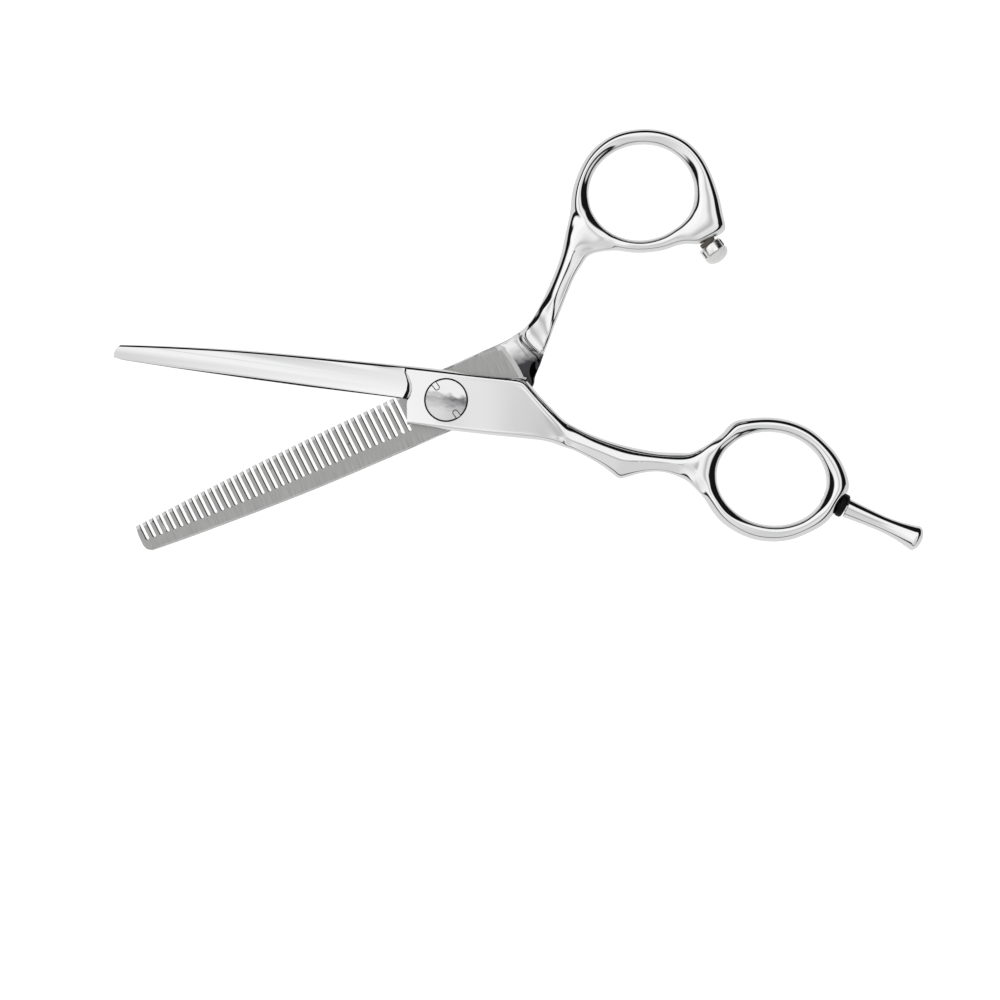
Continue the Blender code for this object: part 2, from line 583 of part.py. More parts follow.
def thumb_half(steel, swing):
    sections = thumb_sections()
    plates = len(COMB_STATIONS)
    joined = [(a, w, (rim, JOINED_CREST) + THUMB_TUBE[2:])
              for (a, w), rim in zip(THUMB_JOINED, JOINED_RIM)]
    boss = (BOSS_RIM,) + THUMB_TUBE[1:]
    free = [(a, w, boss if a in BOSS_STATIONS else THUMB_TUBE) for a, w in THUMB_FREE]
    creases = {}
    for line in (2, 5):
        creases[line, 0, plates] = 1.0
        creases[line, plates + 3, plates + 5] = 1.0
    for line in (10, 13):
        creases[line, 0, plates + 4] = 1.0
    creases["across", 0, 15] = (0, 1.0)
    creases["across", 1, 6] = (plates, 1.0)
    mesh = forging_mesh("thumb_half", sections, THUMB_RING, joined, free, creases)
    body = add_object("thumb_half", mesh, steel, swing)
    smooth_through(body, SMOOTH_LEVEL)
    cut(body, comb_facet_cutter(swing), "comb facet")
    cut(body, comb_outline_cutter(swing), "comb outline")
    cut(body, slot_cutter(swing), "comb slots")
    relief = prism("closing relief", CLOSING_RELIEF, 2.8, 6.0, swing)
    cut(body, as_cutter(relief), "closing relief")
    cut(body, thumb_bores(swing), "pivot bore")
    stud = turned("bumper hole", [(0, -8.0), (1.1, -8.0), (1.1, 0.5), (0, 0.5)], 20,
                  parent=axis_empty("bumper hole axis", BUMPER_ORIGIN, BUMPER_ANGLE, swing))
    cut(body, as_cutter(stud), "bumper hole")
    merge_flats(body)
    return body


def comb_facet_cutter(swing):
    """Stock below the comb's outer face, up to a sloping step in front of the ricasso."""
    points, faces = [], []
    floor, far = -1.0, -75.0
    for x, y in ((-7.2, -9.0), (-7.6, -3.0), (-8.1, 2.0), (-8.6, 9.0)):
        root = comb_facet_z(y)
        reach = STEP_RUN * (root - LOWER_OUTER_Z)
        points += [(far, y, root), (x - reach, y, root), (x, y, LOWER_OUTER_Z), (x, y, floor),
                   (far, y, floor)]
    for s in range(3):
        for j in range(5):
            k = (j + 1) % 5
            faces.append((s * 5 + j, s * 5 + k, s * 5 + 5 + k, s * 5 + 5 + j))
    faces += [tuple(range(5)), tuple(range(19, 14, -1))]
    mesh = mesh_from("comb facet cutter", points, faces)
    return as_cutter(add_object("comb facet cutter", mesh, parent=swing))


def comb_outline_cutter(swing):
    """Stock outside the tooth tips and the comb's rounded tip."""
    heel = [(-6.4, 7.0), (-6.6, 5.6), (-7.2, 4.8)]
    outline = COMB_TIP + [(-75.0, -7.5), (-75.0, 7.0)] + heel + list(TOOTH_LINE[::-1])
    return as_cutter(prism("comb outline cutter", outline, -2.0, 5.0, swing))


def slot_cutter(swing):
    """All slots of the comb in one mesh: thin prisms with a round floor, square to the tips."""
    (x0, y0), (x1, y1) = TOOTH_LINE[0], TOOTH_LINE[-1]
    lean = math.atan2(y1 - y0, x1 - x0)
    ux, uy = math.cos(lean), math.sin(lean)
    half = SLOT_WIDTH / 2
    points, faces = [], []
    for slot in range(SLOT_COUNT):
        x = FIRST_SLOT_X + SLOT_PITCH * slot
        top_y = along(TOOTH_LINE, x)
        depth = (top_y - along(SLOT_FLOOR, x)) * math.cos(lean) - half
        outline = [(half, 1.5), (half, -depth)]
        outline += [(half * math.cos(t), -depth - half * math.sin(t))
                    for t in (math.pi / 3, 2 * math.pi / 3)]
        outline += [(-half, -depth), (-half, 1.5)]
        first = len(points)
        for z in (-1.0, 4.5):
            points += [(x + a * ux - b * uy, top_y + a * uy + b * ux, z) for a, b in outline]
        faces.append(tuple(first + i for i in range(6)))
        faces.append(tuple(first + 6 + i for i in range(5, -1, -1)))
        faces += [(first + i, first + (i + 1) % 6, first + 6 + (i + 1) % 6, first + 6 + i)
                  for i in range(6)]
    return as_cutter(add_object("slot cutter", mesh_from("slot cutter", points, faces),
                                parent=swing))


def thumb_bores(swing):
    """Nut pocket, bore and washer pocket of the comb half as one stepped cutter."""
    profile = [(0, -1.0), (NUT_POCKET_RADIUS, -1.0), (NUT_POCKET_RADIUS, NUT_POCKET_ROOF_Z),
               (PIVOT_BORE_RADIUS, NUT_POCKET_ROOF_Z), (PIVOT_BORE_RADIUS, WASHER_POCKET_FLOOR_Z),
               (WASHER_POCKET_RADIUS, WASHER_POCKET_FLOOR_Z), (WASHER_POCKET_RADIUS, 3.6),
               (0, 3.6)]
    return as_cutter(turned("thumb pivot bore", profile, 48, parent=swing))


# ---------------------------------------------------------------- pivot

def washer_profile(inner, outer, low, high):
    return [(inner, low), (outer, low), (outer, high), (inner, high)]


def pivot_screw(steel, screw_axis):
    head, shank, top, chamfer = SCREW_HEAD_RADIUS, SCREW_SHANK_RADIUS, 5.45, 0.12
    profile = [(0, 0.45), (shank - 0.2, 0.45), (shank, 0.7), (shank, 4.35), (head, 4.35),
               (head, top - chamfer), (head - chamfer, top), (0, top)]
    screw = turned("pivot_screw", profile, 48, steel, screw_axis)
    for turn, number in ((135.0, 1), (315.0, 2)):
        outline = [(5.0, -0.45), (5.0, 0.45)]
        outline += [(2.6 + 0.45 * math.cos(t), 0.45 * math.sin(t))
                    for t in (math.pi / 2, 2.2, math.pi, -2.2, -math.pi / 2)]
        notch = prism(f"screw notch {number}", outline, 4.95, 6.0, screw_axis)
        notch.rotation_euler = (0, 0, math.radians(turn - OPEN_ANGLE))
        cut(screw, as_cutter(notch), f"spanner notch {number}")
    return screw


def pivot_nut(steel, swing):
    """Flanged cap nut in the underside of the comb half, with two blind spanner holes."""
    bore = SCREW_SHANK_RADIUS + CLEARANCE
    sleeve = PIVOT_BORE_RADIUS - CLEARANCE
    profile = [(0, 0), (3.45, 0), (3.6, 0.15), (3.6, 0.9), (sleeve, 0.9), (sleeve, 2.4),
               (bore, 2.4), (bore, 0.35), (0, 0.35)]
    nut = turned("pivot_nut", profile, 48, steel, swing)
    for side in (-1, 1):
        hole = turned(f"nut spanner hole {side}", [(0, -1.0), (0.5, -1.0), (0.5, 0.25),
                      (0, 0.25)], 16, parent=swing)
        hole.location = (side * 2.6 * MM, 0, 0)
        cut(nut, as_cutter(hole), f"spanner hole {side}")
    return nut


def tension_spring(steel, swing):
    """Wave spring washer between the nut and the comb half: three waves round the ring."""
    inner, outer, thick, middle, wave, segments = 2.75, 3.6, 0.22, 1.25, 0.16, 36
    points, faces = [], []
    for i in range(segments):
        turn = 2 * math.pi * i / segments
        height = middle + wave * math.cos(3 * turn)
        for radius, z in ((inner, height - thick / 2), (outer, height - thick / 2),
                          (outer, height + thick / 2), (inner, height + thick / 2)):
            points.append((radius * math.cos(turn), radius * math.sin(turn), z))
    for i in range(segments):
        for j in range(4):
            a, b = 4 * i, 4 * ((i + 1) % segments)
            k = (j + 1) % 4
            faces.append((a + j, a + k, b + k, b + j))
    mesh = mesh_from("tension_spring", points, faces, 35)
    return add_object("tension_spring", mesh, steel, swing)


# ---------------------------------------------------------------- finger rest and bumper

def finger_rest(steel, axis):
    """Flared tang with a domed end and a threaded stud that goes through the ring's wall."""
    body = [(1.2, 0.05), (1.85, 0.05), (1.95, 0.2), (1.87, 1.6), (1.76, 3.5), (1.67, 5.6),
            (1.62, 7.5), (1.68, 9.3), (1.85, 11.1), (2.13, 12.9), (2.42, 14.3), (2.57, 14.9),
            (2.5, 15.35), (2.2, 15.75), (1.6, 16.1), (0.8, 16.35), (0, 16.42)]
    stud = [(0, -5.3), (STUD_RADIUS - 0.2, -5.3), (STUD_RADIUS, -5.1), (STUD_RADIUS, 0.05)]
    return turned("finger_rest", stud + body[1:], 24, steel, axis)


def finger_rest_washer(rubber, axis):
    profile = [(1.3, -0.52), (2.2, -0.52), (2.38, -0.36), (2.44, 0.1), (2.38, 0.58), (2.2, 0.75),
               (1.3, 0.75)]
    return turned("finger_rest_washer", profile, 24, rubber, axis)


def bumper_collar(steel, axis):
    """Fluted collar with the stud that screws into the thumb ring."""
    profile = [(0, -5.6), (0.75, -5.6), (0.9, -5.4), (0.9, -1.95), (2.1, -1.95), (2.45, -1.8),
               (BUMPER_RADIUS, -1.6), (BUMPER_RADIUS, -0.15), (2.35, 0), (1.3, 0), (1.3, -1.0),
               (0, -1.0)]
    collar = turned("bumper_collar", profile, 24, steel, axis)
    for flute in range(6):
        outline = [(2.1, -0.5), (3.2, -0.5), (3.2, 0.5), (2.1, 0.5)]
        groove = prism(f"flute {flute}", outline, -1.45, 1.0, axis)
        groove.rotation_euler = (0, 0, math.radians(60 * flute + 20))
        cut(collar, as_cutter(groove), f"flute {flute}")
    return collar


def bumper_cap(nylon, axis):
    profile = [(0, -0.9), (1.2, -0.9), (1.2, 0.08), (2.42, 0.08), (2.52, 0.25), (2.5, 0.7),
               (2.3, 1.25), (1.85, 1.72), (1.2, 2.02), (0.6, 2.15), (0, 2.2)]
    return turned("bumper_cap", profile, 24, nylon, axis)


def bumper_neck(rubber, axis):
    profile = [(1.0, -2.29), (1.75, -2.29), (1.85, -2.2), (1.85, -2.1), (1.75, -2.02),
               (1.0, -2.02)]
    return turned("bumper_neck", profile, 20, rubber, axis)


# ---------------------------------------------------------------- assembly

def main():
    for obj in list(bpy.data.objects):
        bpy.data.objects.remove(obj, do_unlink=True)
    polished = material("polished steel", (0.80, 0.80, 0.81), 1.0, 0.08)
    satin = material("satin steel", (0.62, 0.62, 0.62), 1.0, 0.32)
    turned_steel = material("turned steel", (0.72, 0.72, 0.72), 1.0, 0.2)
    screw_steel = material("screw steel", (0.78, 0.78, 0.78), 1.0, 0.18)
    nut_steel = material("nut steel", (0.66, 0.66, 0.66), 1.0, 0.28)
    spring_steel = material("spring steel", (0.5, 0.5, 0.52), 1.0, 0.3)
    rest_steel = material("finger rest steel", (0.80, 0.80, 0.81), 1.0, 0.08)
    rubber = material("black rubber", (0.02, 0.02, 0.02), 0.0, 0.55)
    neck_rubber = material("dark rubber", (0.10, 0.08, 0.07), 0.0, 0.5)
    nylon = material("white nylon", (0.86, 0.85, 0.83), 0.0, 0.4)
    acetal = material("acetal", (0.8, 0.8, 0.76), 0.0, 0.45)
    slip = material("slip washer polymer", (0.9, 0.9, 0.9), 0.0, 0.35)
    head_polymer = material("head washer polymer", (0.12, 0.12, 0.12), 0.0, 0.45)

    swing = bpy.data.objects.new("comb half swing", None)
    bpy.context.scene.collection.objects.link(swing)
    swing.rotation_euler = (0, 0, math.radians(OPEN_ANGLE))

    finger_half(polished)
    thumb_half(satin, swing)
    pivot_screw(screw_steel, swing)
    pivot_nut(nut_steel, swing)
    tension_spring(spring_steel, swing)
    bore = SCREW_SHANK_RADIUS + CLEARANCE
    turned("head_washer", washer_profile(1.95, 4.2, 4.0, 4.3), 40, head_polymer)
    turned("pivot_bushing", washer_profile(bore, PIVOT_BORE_RADIUS - CLEARANCE, 3.05, 3.95), 48,
           acetal)
    turned("blade_washer", washer_profile(2.75, WASHER_POCKET_RADIUS - 0.1, 2.55, 2.95), 40, slip,
           swing)

    rest_axis = axis_empty("finger rest axis", REST_ORIGIN, REST_ANGLE)
    finger_rest(rest_steel, rest_axis)
    finger_rest_washer(rubber, axis_empty("rest washer axis", REST_WASHER_CENTRE,
                                          REST_WASHER_ANGLE))
    bumper_axis = axis_empty("bumper axis", BUMPER_ORIGIN, BUMPER_ANGLE, swing)
    bumper_collar(turned_steel, bumper_axis)
    bumper_cap(nylon, bumper_axis)
    bumper_neck(neck_rubber, bumper_axis)


main()
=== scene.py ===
"""Looks of the thinning shears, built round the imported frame.

The two forged halves are rebuilt finer than their CAD solids, and the turned parts get closer
detail. Tables are in millimetres, in the frame of each half: the straight half lies along X, and
the comb half is drawn closed and then swung open by OPEN_ANGLE.
"""

import math

import bmesh
import bpy
from mathutils import Matrix, Vector


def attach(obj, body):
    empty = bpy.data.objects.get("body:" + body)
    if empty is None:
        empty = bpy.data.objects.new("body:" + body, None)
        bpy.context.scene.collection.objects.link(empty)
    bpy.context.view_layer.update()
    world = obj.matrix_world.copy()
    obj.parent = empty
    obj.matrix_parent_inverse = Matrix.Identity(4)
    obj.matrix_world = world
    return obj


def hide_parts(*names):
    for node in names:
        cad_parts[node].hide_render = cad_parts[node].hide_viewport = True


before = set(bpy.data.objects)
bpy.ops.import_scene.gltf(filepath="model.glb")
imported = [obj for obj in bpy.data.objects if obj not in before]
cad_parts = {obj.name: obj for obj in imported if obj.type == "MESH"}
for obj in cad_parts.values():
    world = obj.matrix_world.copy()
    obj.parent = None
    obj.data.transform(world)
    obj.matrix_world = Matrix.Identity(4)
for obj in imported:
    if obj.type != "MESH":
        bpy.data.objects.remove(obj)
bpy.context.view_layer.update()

MM = 0.001
FINE = 3    # subdivision of the forged surfaces

OPEN_ANGLE = 30.0
OPENED = Matrix.Rotation(math.radians(OPEN_ANGLE), 4, "Z")
MID_Z = 2.95
RING_HALF_HEIGHT = 2.92

# The upper, straight half
UPPER_INNER_Z = 3.0
UPPER_OUTER_Z = 5.4
UPPER_RIM_Z = 4.1
CROWN = 0.0013
CROWN_TOP_X = 8.0
FACET_Z = 3.42
FACET_Y = -1.5
FACET_SLOPE = 0.2
GRIND_ALLOWANCE = 0.1

# The lower, comb half
LOWER_INNER_Z = 2.9
LOWER_OUTER_Z = 0.3
LOWER_RIM_Z = 1.2
COMB_FACET_Z = 0.95
COMB_FACET_Y = -6.2
COMB_FACET_SLOPE = 0.13
LEAF_Z = 4.9
SLOT_COUNT = 40
SLOT_PITCH = 1.463
SLOT_WIDTH = 0.55
SLOT_BEVEL = (0.20, 0.15)
TOOTH_BEVEL = (0.75, 0.10)
FIRST_SLOT_X = -66.65
TOOTH_LINE = ((-67.8, -0.75), (-54.0, 0.72), (-40.0, 2.1), (-25.0, 3.3), (-8.0, 4.4))
SLOT_FLOOR = ((-67.0, -4.1), (-52.0, -4.2), (-40.0, -4.1), (-25.0, -3.6), (-9.0, -3.1))

FINGER_RING = ((67.38, -5.98), (11.11, 9.37), -2.2)
THUMB_RING = ((52.10, 24.62), (10.68, 9.66), -12.0)

COUNTERBORE_RADIUS = 4.45
COUNTERBORE_FLOOR_Z = 3.9
PIVOT_BORE_RADIUS = 2.65
NUT_POCKET_RADIUS = 3.8
NUT_POCKET_ROOF_Z = 1.6
WASHER_POCKET_RADIUS = 4.1
WASHER_POCKET_FLOOR_Z = 2.5

REST_ORIGIN = (83.42, -9.62)
REST_ANGLE = -15.2
BUMPER_ORIGIN = (61.5, 7.95)
BUMPER_ANGLE = -74.0
# Each stud's hole: its radius, and where it starts and ends along the stud's axis
REST_STUD_HOLE = (1.2, -7.5, 1.0)
BUMPER_STUD_HOLE = (1.1, -8.0, 0.5)

ROW = 8                      # points across the top of a section, and round a ring's tube
SHOULDER = 0.45              # place of a section's slope point between its rim and its flat

# A shank's section: one flank is rounded, and the other drops sharply off the ridge, then slopes
RIDGE_HALF_WIDTH = 0.12
SPAR_FULLNESS = 0.74
SPAR_RIM = 0.6
THUMB_SPAR_RIM = 1.15
UNDER_RIM_LIMIT = 1.1
RIDGE_EDGE = 0.04
RIDGE_STEP = (0.22, 0.17)
FLANK = ((0.55, 0.0), (1.0, 0.35))   # parts of the slope's width, and how far each lies below it
LOWEST_RIM = 0.3
FINGER_FLANK_SLOPE = 0.53
THUMB_FLANK_SLOPE = 0.30

# The section where a shank opens into its ring
WEB_SHOULDER = 0.2
WEB_RIMS = (0.4, 0.55)
WEB_FULLNESS = (0.7, 0.9)

# Upper half of a ring's section: the outer two points are fractions of its half width and half
# height, and the inner two are distances from the hole and fractions of its half height
FINGER_TUBE = ((0.88, 0.52), (0.10, 0.97))
THUMB_TUBE = ((0.90, 0.56), (0.18, 0.97))
BOSS_TUBE = ((0.97, 0.50), (0.36, 0.97))
JOINED_CREST = (0.18, 0.915)
CRISP_INSIDE = ((0.60, 0.88), (0.07, 0.42))
ROUND_INSIDE = ((0.78, 0.77), (0.11, 0.45))
JOINED_INSIDE = ((0.88, 0.735), (0.12, 0.42))
WIDE_INSIDE = ((1.75, 0.90), (0.45, 0.46))
WIDE = (3.6, 7.6)            # widths at which a section starts and ends taking WIDE_INSIDE
ROUND_FADE = 24.0            # degrees over which a round span turns crisp

CUT_SMOOTH_ANGLE = 28
TURNED_SMOOTH_ANGLE = 34
CUT_END_X = -75.0            # past the tips, where every cutter along a blade ends


# ---- small helpers

def lerp(a, b, t):
    return tuple(p + (q - p) * t for p, q in zip(a, b))


def toward(a, b, distance):
    return lerp(a, b, distance / math.dist(a, b))


def along(points, x):
    for (x0, y0), (x1, y1) in zip(points, points[1:]):
        if x <= x1:
            return y0 + (y1 - y0) * (x - x0) / (x1 - x0)
    return points[-1][1]


def rotated(outline, degrees):
    turn = math.radians(degrees)
    return [(x * math.cos(turn) - y * math.sin(turn), x * math.sin(turn) + y * math.cos(turn))
            for x, y in outline]


def side_faces(rows, around, first=0):
    """Faces between rows of points that each go once round a solid."""
    faces = []
    for row in range(first, first + (rows - 1) * around, around):
        faces += [(row + j, row + (j + 1) % around, row + around + (j + 1) % around,
                   row + around + j) for j in range(around)]
    return faces


def tube_faces(rows, around, first=0):
    """Both end caps and the sides of a solid made of rows of points."""
    end = first + rows * around
    caps = [tuple(range(first, first + around)), tuple(range(end - 1, end - around - 1, -1))]
    return caps + side_faces(rows, around, first)


def add_object(name, data):
    obj = bpy.data.objects.new(name, data)
    bpy.context.scene.collection.objects.link(obj)
    return obj


def mesh_from(name, points, faces):
    bm = bmesh.new()
    verts = [bm.verts.new(Vector(p) * MM) for p in points]
    for face in faces:
        bm.faces.new([verts[i] for i in face])
    bmesh.ops.recalc_face_normals(bm, faces=bm.faces[:])
    mesh = bpy.data.meshes.new(name)
    bm.to_mesh(mesh)
    bm.free()
    return mesh


def solid(name, points, faces):
    return add_object(name, mesh_from(name, points, faces))


def cut(obj, cutter):
    boolean = obj.modifiers.new(cutter.name, "BOOLEAN")
    boolean.operation = "DIFFERENCE"
    boolean.solver = "EXACT"
    boolean.object = cutter


def settle(obj):
    """Apply the modifiers, drop the cutters and shade the result smooth up to an angle."""
    cutters = [m.object for m in obj.modifiers if m.type == "BOOLEAN"]
    bpy.context.view_layer.update()
    mesh = bpy.data.meshes.new_from_object(
        obj.evaluated_get(bpy.context.evaluated_depsgraph_get()))
    mesh.name = obj.name
    obj.modifiers.clear()
    obj.data = mesh
    for cutter in cutters:
        bpy.data.objects.remove(cutter, do_unlink=True)
    mesh.shade_smooth()
    mesh.set_sharp_from_angle(angle=math.radians(CUT_SMOOTH_ANGLE))


def prism(name, outline, z_low, z_high):
    points = [(x, y, z) for z in (z_low, z_high) for x, y in outline]
    return solid(name, points, tube_faces(2, len(outline)))


def turned(name, profile, segments):
    """Solid of revolution of a closed (radius, height) outline about Z."""
    points, rings = [], []
    for radius, height in profile:
        if radius == 0:
            rings.append([len(points)] * segments)
            points.append((0, 0, height))
            continue
        rings.append(list(range(len(points), len(points) + segments)))
        for i in range(segments):
            turn = 2 * math.pi * i / segments
            points.append((radius * math.cos(turn), radius * math.sin(turn), height))
    faces = []
    for low, high in zip(rings, rings[1:] + rings[:1]):
        for i in range(segments):
            j = (i + 1) % segments
            corners = dict.fromkeys((low[i], low[j], high[j], high[i]))
            if len(corners) > 2:
                faces.append(tuple(corners))
    return solid(name, points, faces)


def bored(name, steps):
    """Cutter made of cylinders one above the other: each step's radius, start and end."""
    outline = [(0, steps[0][1])]
    for radius, low, high in steps:
        outline += [(radius, low), (radius, high)]
    return turned(name, outline + [(0, steps[-1][2])], 128)


def axis_matrix(origin, angle):
    """Frame at this point of the mid plane, with its Z level and at this angle from X."""
    direction = Vector((math.cos(math.radians(angle)), math.sin(math.radians(angle)), 0))
    across = Vector((0, 0, 1)).cross(direction)
    basis = Matrix((across, Vector((0, 0, 1)), direction)).transposed().to_4x4()
    return Matrix.Translation(Vector((*origin, MID_Z)) * MM) @ basis


REST_MATRIX = axis_matrix(REST_ORIGIN, REST_ANGLE)
BUMPER_CLOSED_MATRIX = axis_matrix(BUMPER_ORIGIN, BUMPER_ANGLE)
BUMPER_MATRIX = OPENED @ BUMPER_CLOSED_MATRIX


def cut_stud_hole(body, size, matrix):
    radius, low, high = size
    stud = turned("stud hole", [(0, low), (radius, low), (radius, high), (0, high)], 32)
    stud.matrix_world = matrix
    cut(body, stud)


# ---- forged bodies

def both(value):
    return value if isinstance(value, tuple) else (value, value)


def edge_row(upper, flat_upper, flat_lower, lower, flat_z, rim_z, fullness=0.68):
    """Eight points across one side of a section: rim, slope, flat or ridge, slope, rim."""
    flat, rim, full = both(flat_z), both(rim_z), both(fullness)
    row = [(*upper, rim[0])]
    row.append((*lerp(upper, flat_upper, SHOULDER), rim[0] + (flat[0] - rim[0]) * full[0]))
    for step in range(4):
        height = flat[0] + (flat[1] - flat[0]) * step / 3
        row.append((*lerp(flat_upper, flat_lower, step / 3), height))
    row.append((*lerp(lower, flat_lower, SHOULDER), rim[1] + (flat[1] - rim[1]) * full[1]))
    row.append((*lower, rim[1]))
    return row


def inset_row(upper, lower, flat_z, rim_z, inset=0.5):
    return edge_row(upper, toward(upper, lower, inset), toward(lower, upper, inset), lower,
                    flat_z, rim_z)


def spar(upper, ridge, lower, ridge_half, rim_half, under_half=None, slope=FINGER_FLANK_SLOPE):
    """Section of a shank: two slopes that meet at a ridge, above and below the mid plane."""
    near = toward(ridge, upper, RIDGE_HALF_WIDTH)
    far = toward(ridge, lower, RIDGE_HALF_WIDTH)
    under = ridge_half if under_half is None else under_half
    under_rim = min(UNDER_RIM_LIMIT, under / 2)
    top = edge_row(upper, near, far, lower, MID_Z + ridge_half, MID_Z + rim_half, SPAR_FULLNESS)
    width, drop = RIDGE_STEP
    reach = math.dist(ridge, lower)
    foot = MID_Z + ridge_half - drop
    top[4] = (*toward(ridge, lower, RIDGE_EDGE), MID_Z + ridge_half)
    top[5] = (*toward(ridge, lower, width), foot)
    for index, (part, extra) in enumerate(FLANK, start=6):
        place = width + (reach - width) * part
        sink = slope * (place - width) + extra
        top[index] = (*toward(ridge, lower, place), max(foot - sink, MID_Z + LOWEST_RIM))
    bottom = edge_row(upper, near, far, lower, MID_Z - under, MID_Z - under_rim)
    return top, bottom


def web(upper, ridge, lower, half):
    """Section where a shank opens into its ring: low and round, with no ridge."""
    rows = []
    for side in (1, -1):
        shoulder = MID_Z + side * (half - WEB_SHOULDER)
        rims = tuple(MID_Z + side * part * half for part in WEB_RIMS)
        row = edge_row(upper, lerp(ridge, upper, 0.5), lerp(ridge, lower, 0.5), lower, shoulder,
                       rims, WEB_FULLNESS)
        for middle in (3, 4):
            row[middle] = (*row[middle][:2], MID_Z + side * half)
        rows.append(row)
    return tuple(rows)


def ring_frame(ring, angle):
    """Point on the edge of a ring's elliptic hole, and the direction out of the hole there."""
    (cx, cy), (a, b), tilt = ring
    turn = math.radians(angle)
    px, py = a * math.cos(turn), b * math.sin(turn)
    nx, ny = math.cos(turn) / a, math.sin(turn) / b
    size = math.hypot(nx, ny)
    (rx, ry), normal = rotated([(px, py), (nx / size, ny / size)], tilt)
    return (cx + rx, cy + ry), normal


def share_of(value, start, end):
    return min(max((value - start) / (end - start), 0.0), 1.0)


def blend(first, second, share):
    return [lerp(p, q, share) for p, q in zip(first, second)]


def inside(angle, width, round_spans):
    """Inner edge of a ring's section: rounder over some angles, wider at a boss."""
    gap = min(max(a - wrapped, wrapped - b, 0)
              for a, b in round_spans for wrapped in (angle, angle + 360))
    narrow = blend(ROUND_INSIDE, CRISP_INSIDE, share_of(gap, 0, ROUND_FADE))
    return blend(narrow, WIDE_INSIDE, share_of(width, *WIDE))


def ring_section(ring, angle, width, outside, inside):
    """Eight points round the ring's tube, from its outer top edge inwards and back."""
    (x, y), (nx, ny) = ring_frame(ring, angle)
    upper = [(width / 2 * (1 + r), z) for r, z in outside] + list(inside)
    points = []
    for reach, z in upper + [(reach, -z) for reach, z in reversed(upper)]:
        points.append((x + nx * reach, y + ny * reach, MID_Z + z * RING_HALF_HEIGHT))
    return points


def forging(name, sections, ring, joined, free, creases):
    """One half: sections from the tip to the shank, then a ring grown from its end.

    A crease (line, first, last) runs along a line of points, over these sections, and its value is
    its sharpness. ("across", first, last) runs over these lines of one section, and its value is
    (section, sharpness).
    """
    points = []
    for top, bottom in sections:
        points += top + bottom[::-1]
    around = 2 * ROW
    count = len(sections)
    faces = side_faces(count, around)
    faces += [(j, j + 1, around - 2 - j, around - 1 - j) for j in range(ROW - 1)]
    base = len(points)
    stations = joined + free
    for angle, width, outside, inside in stations:
        points += ring_section(ring, angle, width, outside, inside)
    total = len(stations)
    last = (count - 1) * around
    outer_top = [base + ROW * i for i in range(ROW)]
    outer_bottom = [base + ROW * i + ROW - 1 for i in range(ROW)]
    ring_loop = outer_top + outer_bottom[::-1]
    for j in range(around):
        k = (j + 1) % around
        faces.append((last + j, last + k, ring_loop[k], ring_loop[j]))
    for s in range(total):
        here, there = base + ROW * s, base + ROW * ((s + 1) % total)
        for j in range(ROW):
            if j == ROW - 1 and s < ROW - 1:
                continue             # the shank grows out of the ring's side here
            k = (j + 1) % ROW
            faces.append((here + j, here + k, there + k, there + j))
    mesh = mesh_from(name, points, faces)
    weights = mesh.attributes.new("crease_edge", "FLOAT", "EDGE")
    for edge in mesh.edges:
        low, high = sorted(edge.vertices)
        if high >= base:
            continue
        (s0, j0), (s1, j1) = divmod(low, around), divmod(high, around)
        for (line, first, final), sharpness in creases.items():
            if line == "across":
                same = s0 == s1 and first <= j0 <= final and first <= j1 <= final
                if same and s0 == sharpness[0]:
                    weights.data[edge.index].value = sharpness[1]
            elif j0 == j1 == line and first <= s0 and s1 <= final:
                weights.data[edge.index].value = sharpness
    body = add_object(name, mesh)
    smooth_through(body)
    return body


def smooth_through(obj, rounds=14):
    """Subdivision surface whose cage is moved until the surface meets its first points."""
    subdivision = obj.modifiers.new("forged surface", "SUBSURF")
    subdivision.levels = subdivision.render_levels = 1
    targets = [vert.co.copy() for vert in obj.data.vertices]
    for _ in range(rounds):
        bpy.context.view_layer.update()
        surface = obj.evaluated_get(bpy.context.evaluated_depsgraph_get()).data
        reached = [surface.vertices[i].co.copy() for i in range(len(targets))]
        for vert, target, point in zip(obj.data.vertices, targets, reached):
            vert.co += target - point
    subdivision.levels = subdivision.render_levels = FINE


# ---- straight half

def facet_z(y):
    return FACET_Z + FACET_SLOPE * (y - FACET_Y)


def crown_z(x):
    """Height of the pivot flat, which is very slightly domed along the blade."""
    return UPPER_OUTER_Z - CROWN * (x - CROWN_TOP_X) ** 2


# Sections of the blade and of the flat at the pivot: rim, flat, flat and rim, from side to side
BLADE_STATIONS = [[(x, rim), (x, flat), (x, -5.2), (x, -6.0)] for x, rim, flat in (
    (-69.5, 0.9, 0.1), (-60.0, 2.1, 1.2), (-45.0, 3.62, 2.65), (-30.0, 4.6, 3.5),
    (-16.0, 5.3, 4.1))]
RICASSO_STATIONS = [
    ((-5.5, 5.8), (-5.5, 4.5), (-5.5, -5.1), (-5.5, -5.98)),
    ((3.0, 6.1), (3.0, 4.8), (3.0, -4.95), (3.0, -5.82)),
    ((9.8, 6.38), (9.6, 5.05), (10.5, -4.65), (10.5, -5.55)),
    ((14.6, 6.55), (13.6, 4.95), (15.6, -4.27), (15.4, -5.33)),
    ((16.9, 5.0), (15.8, 3.85), (19.2, -4.02), (19.0, -5.16)),
    ((20.7, 1.9), (19.4, 0.65), (22.0, -3.97), (21.8, -5.22))]
# Where the pivot's flat turns into the shank: the same four points, and the ridge underneath
SHANK_ROOT = ((23.6, -0.25), (22.6, -1.95), (23.9, -4.02), (24.1, -5.58))
SHANK_ROOT_RIDGE = (23.6, -3.3)
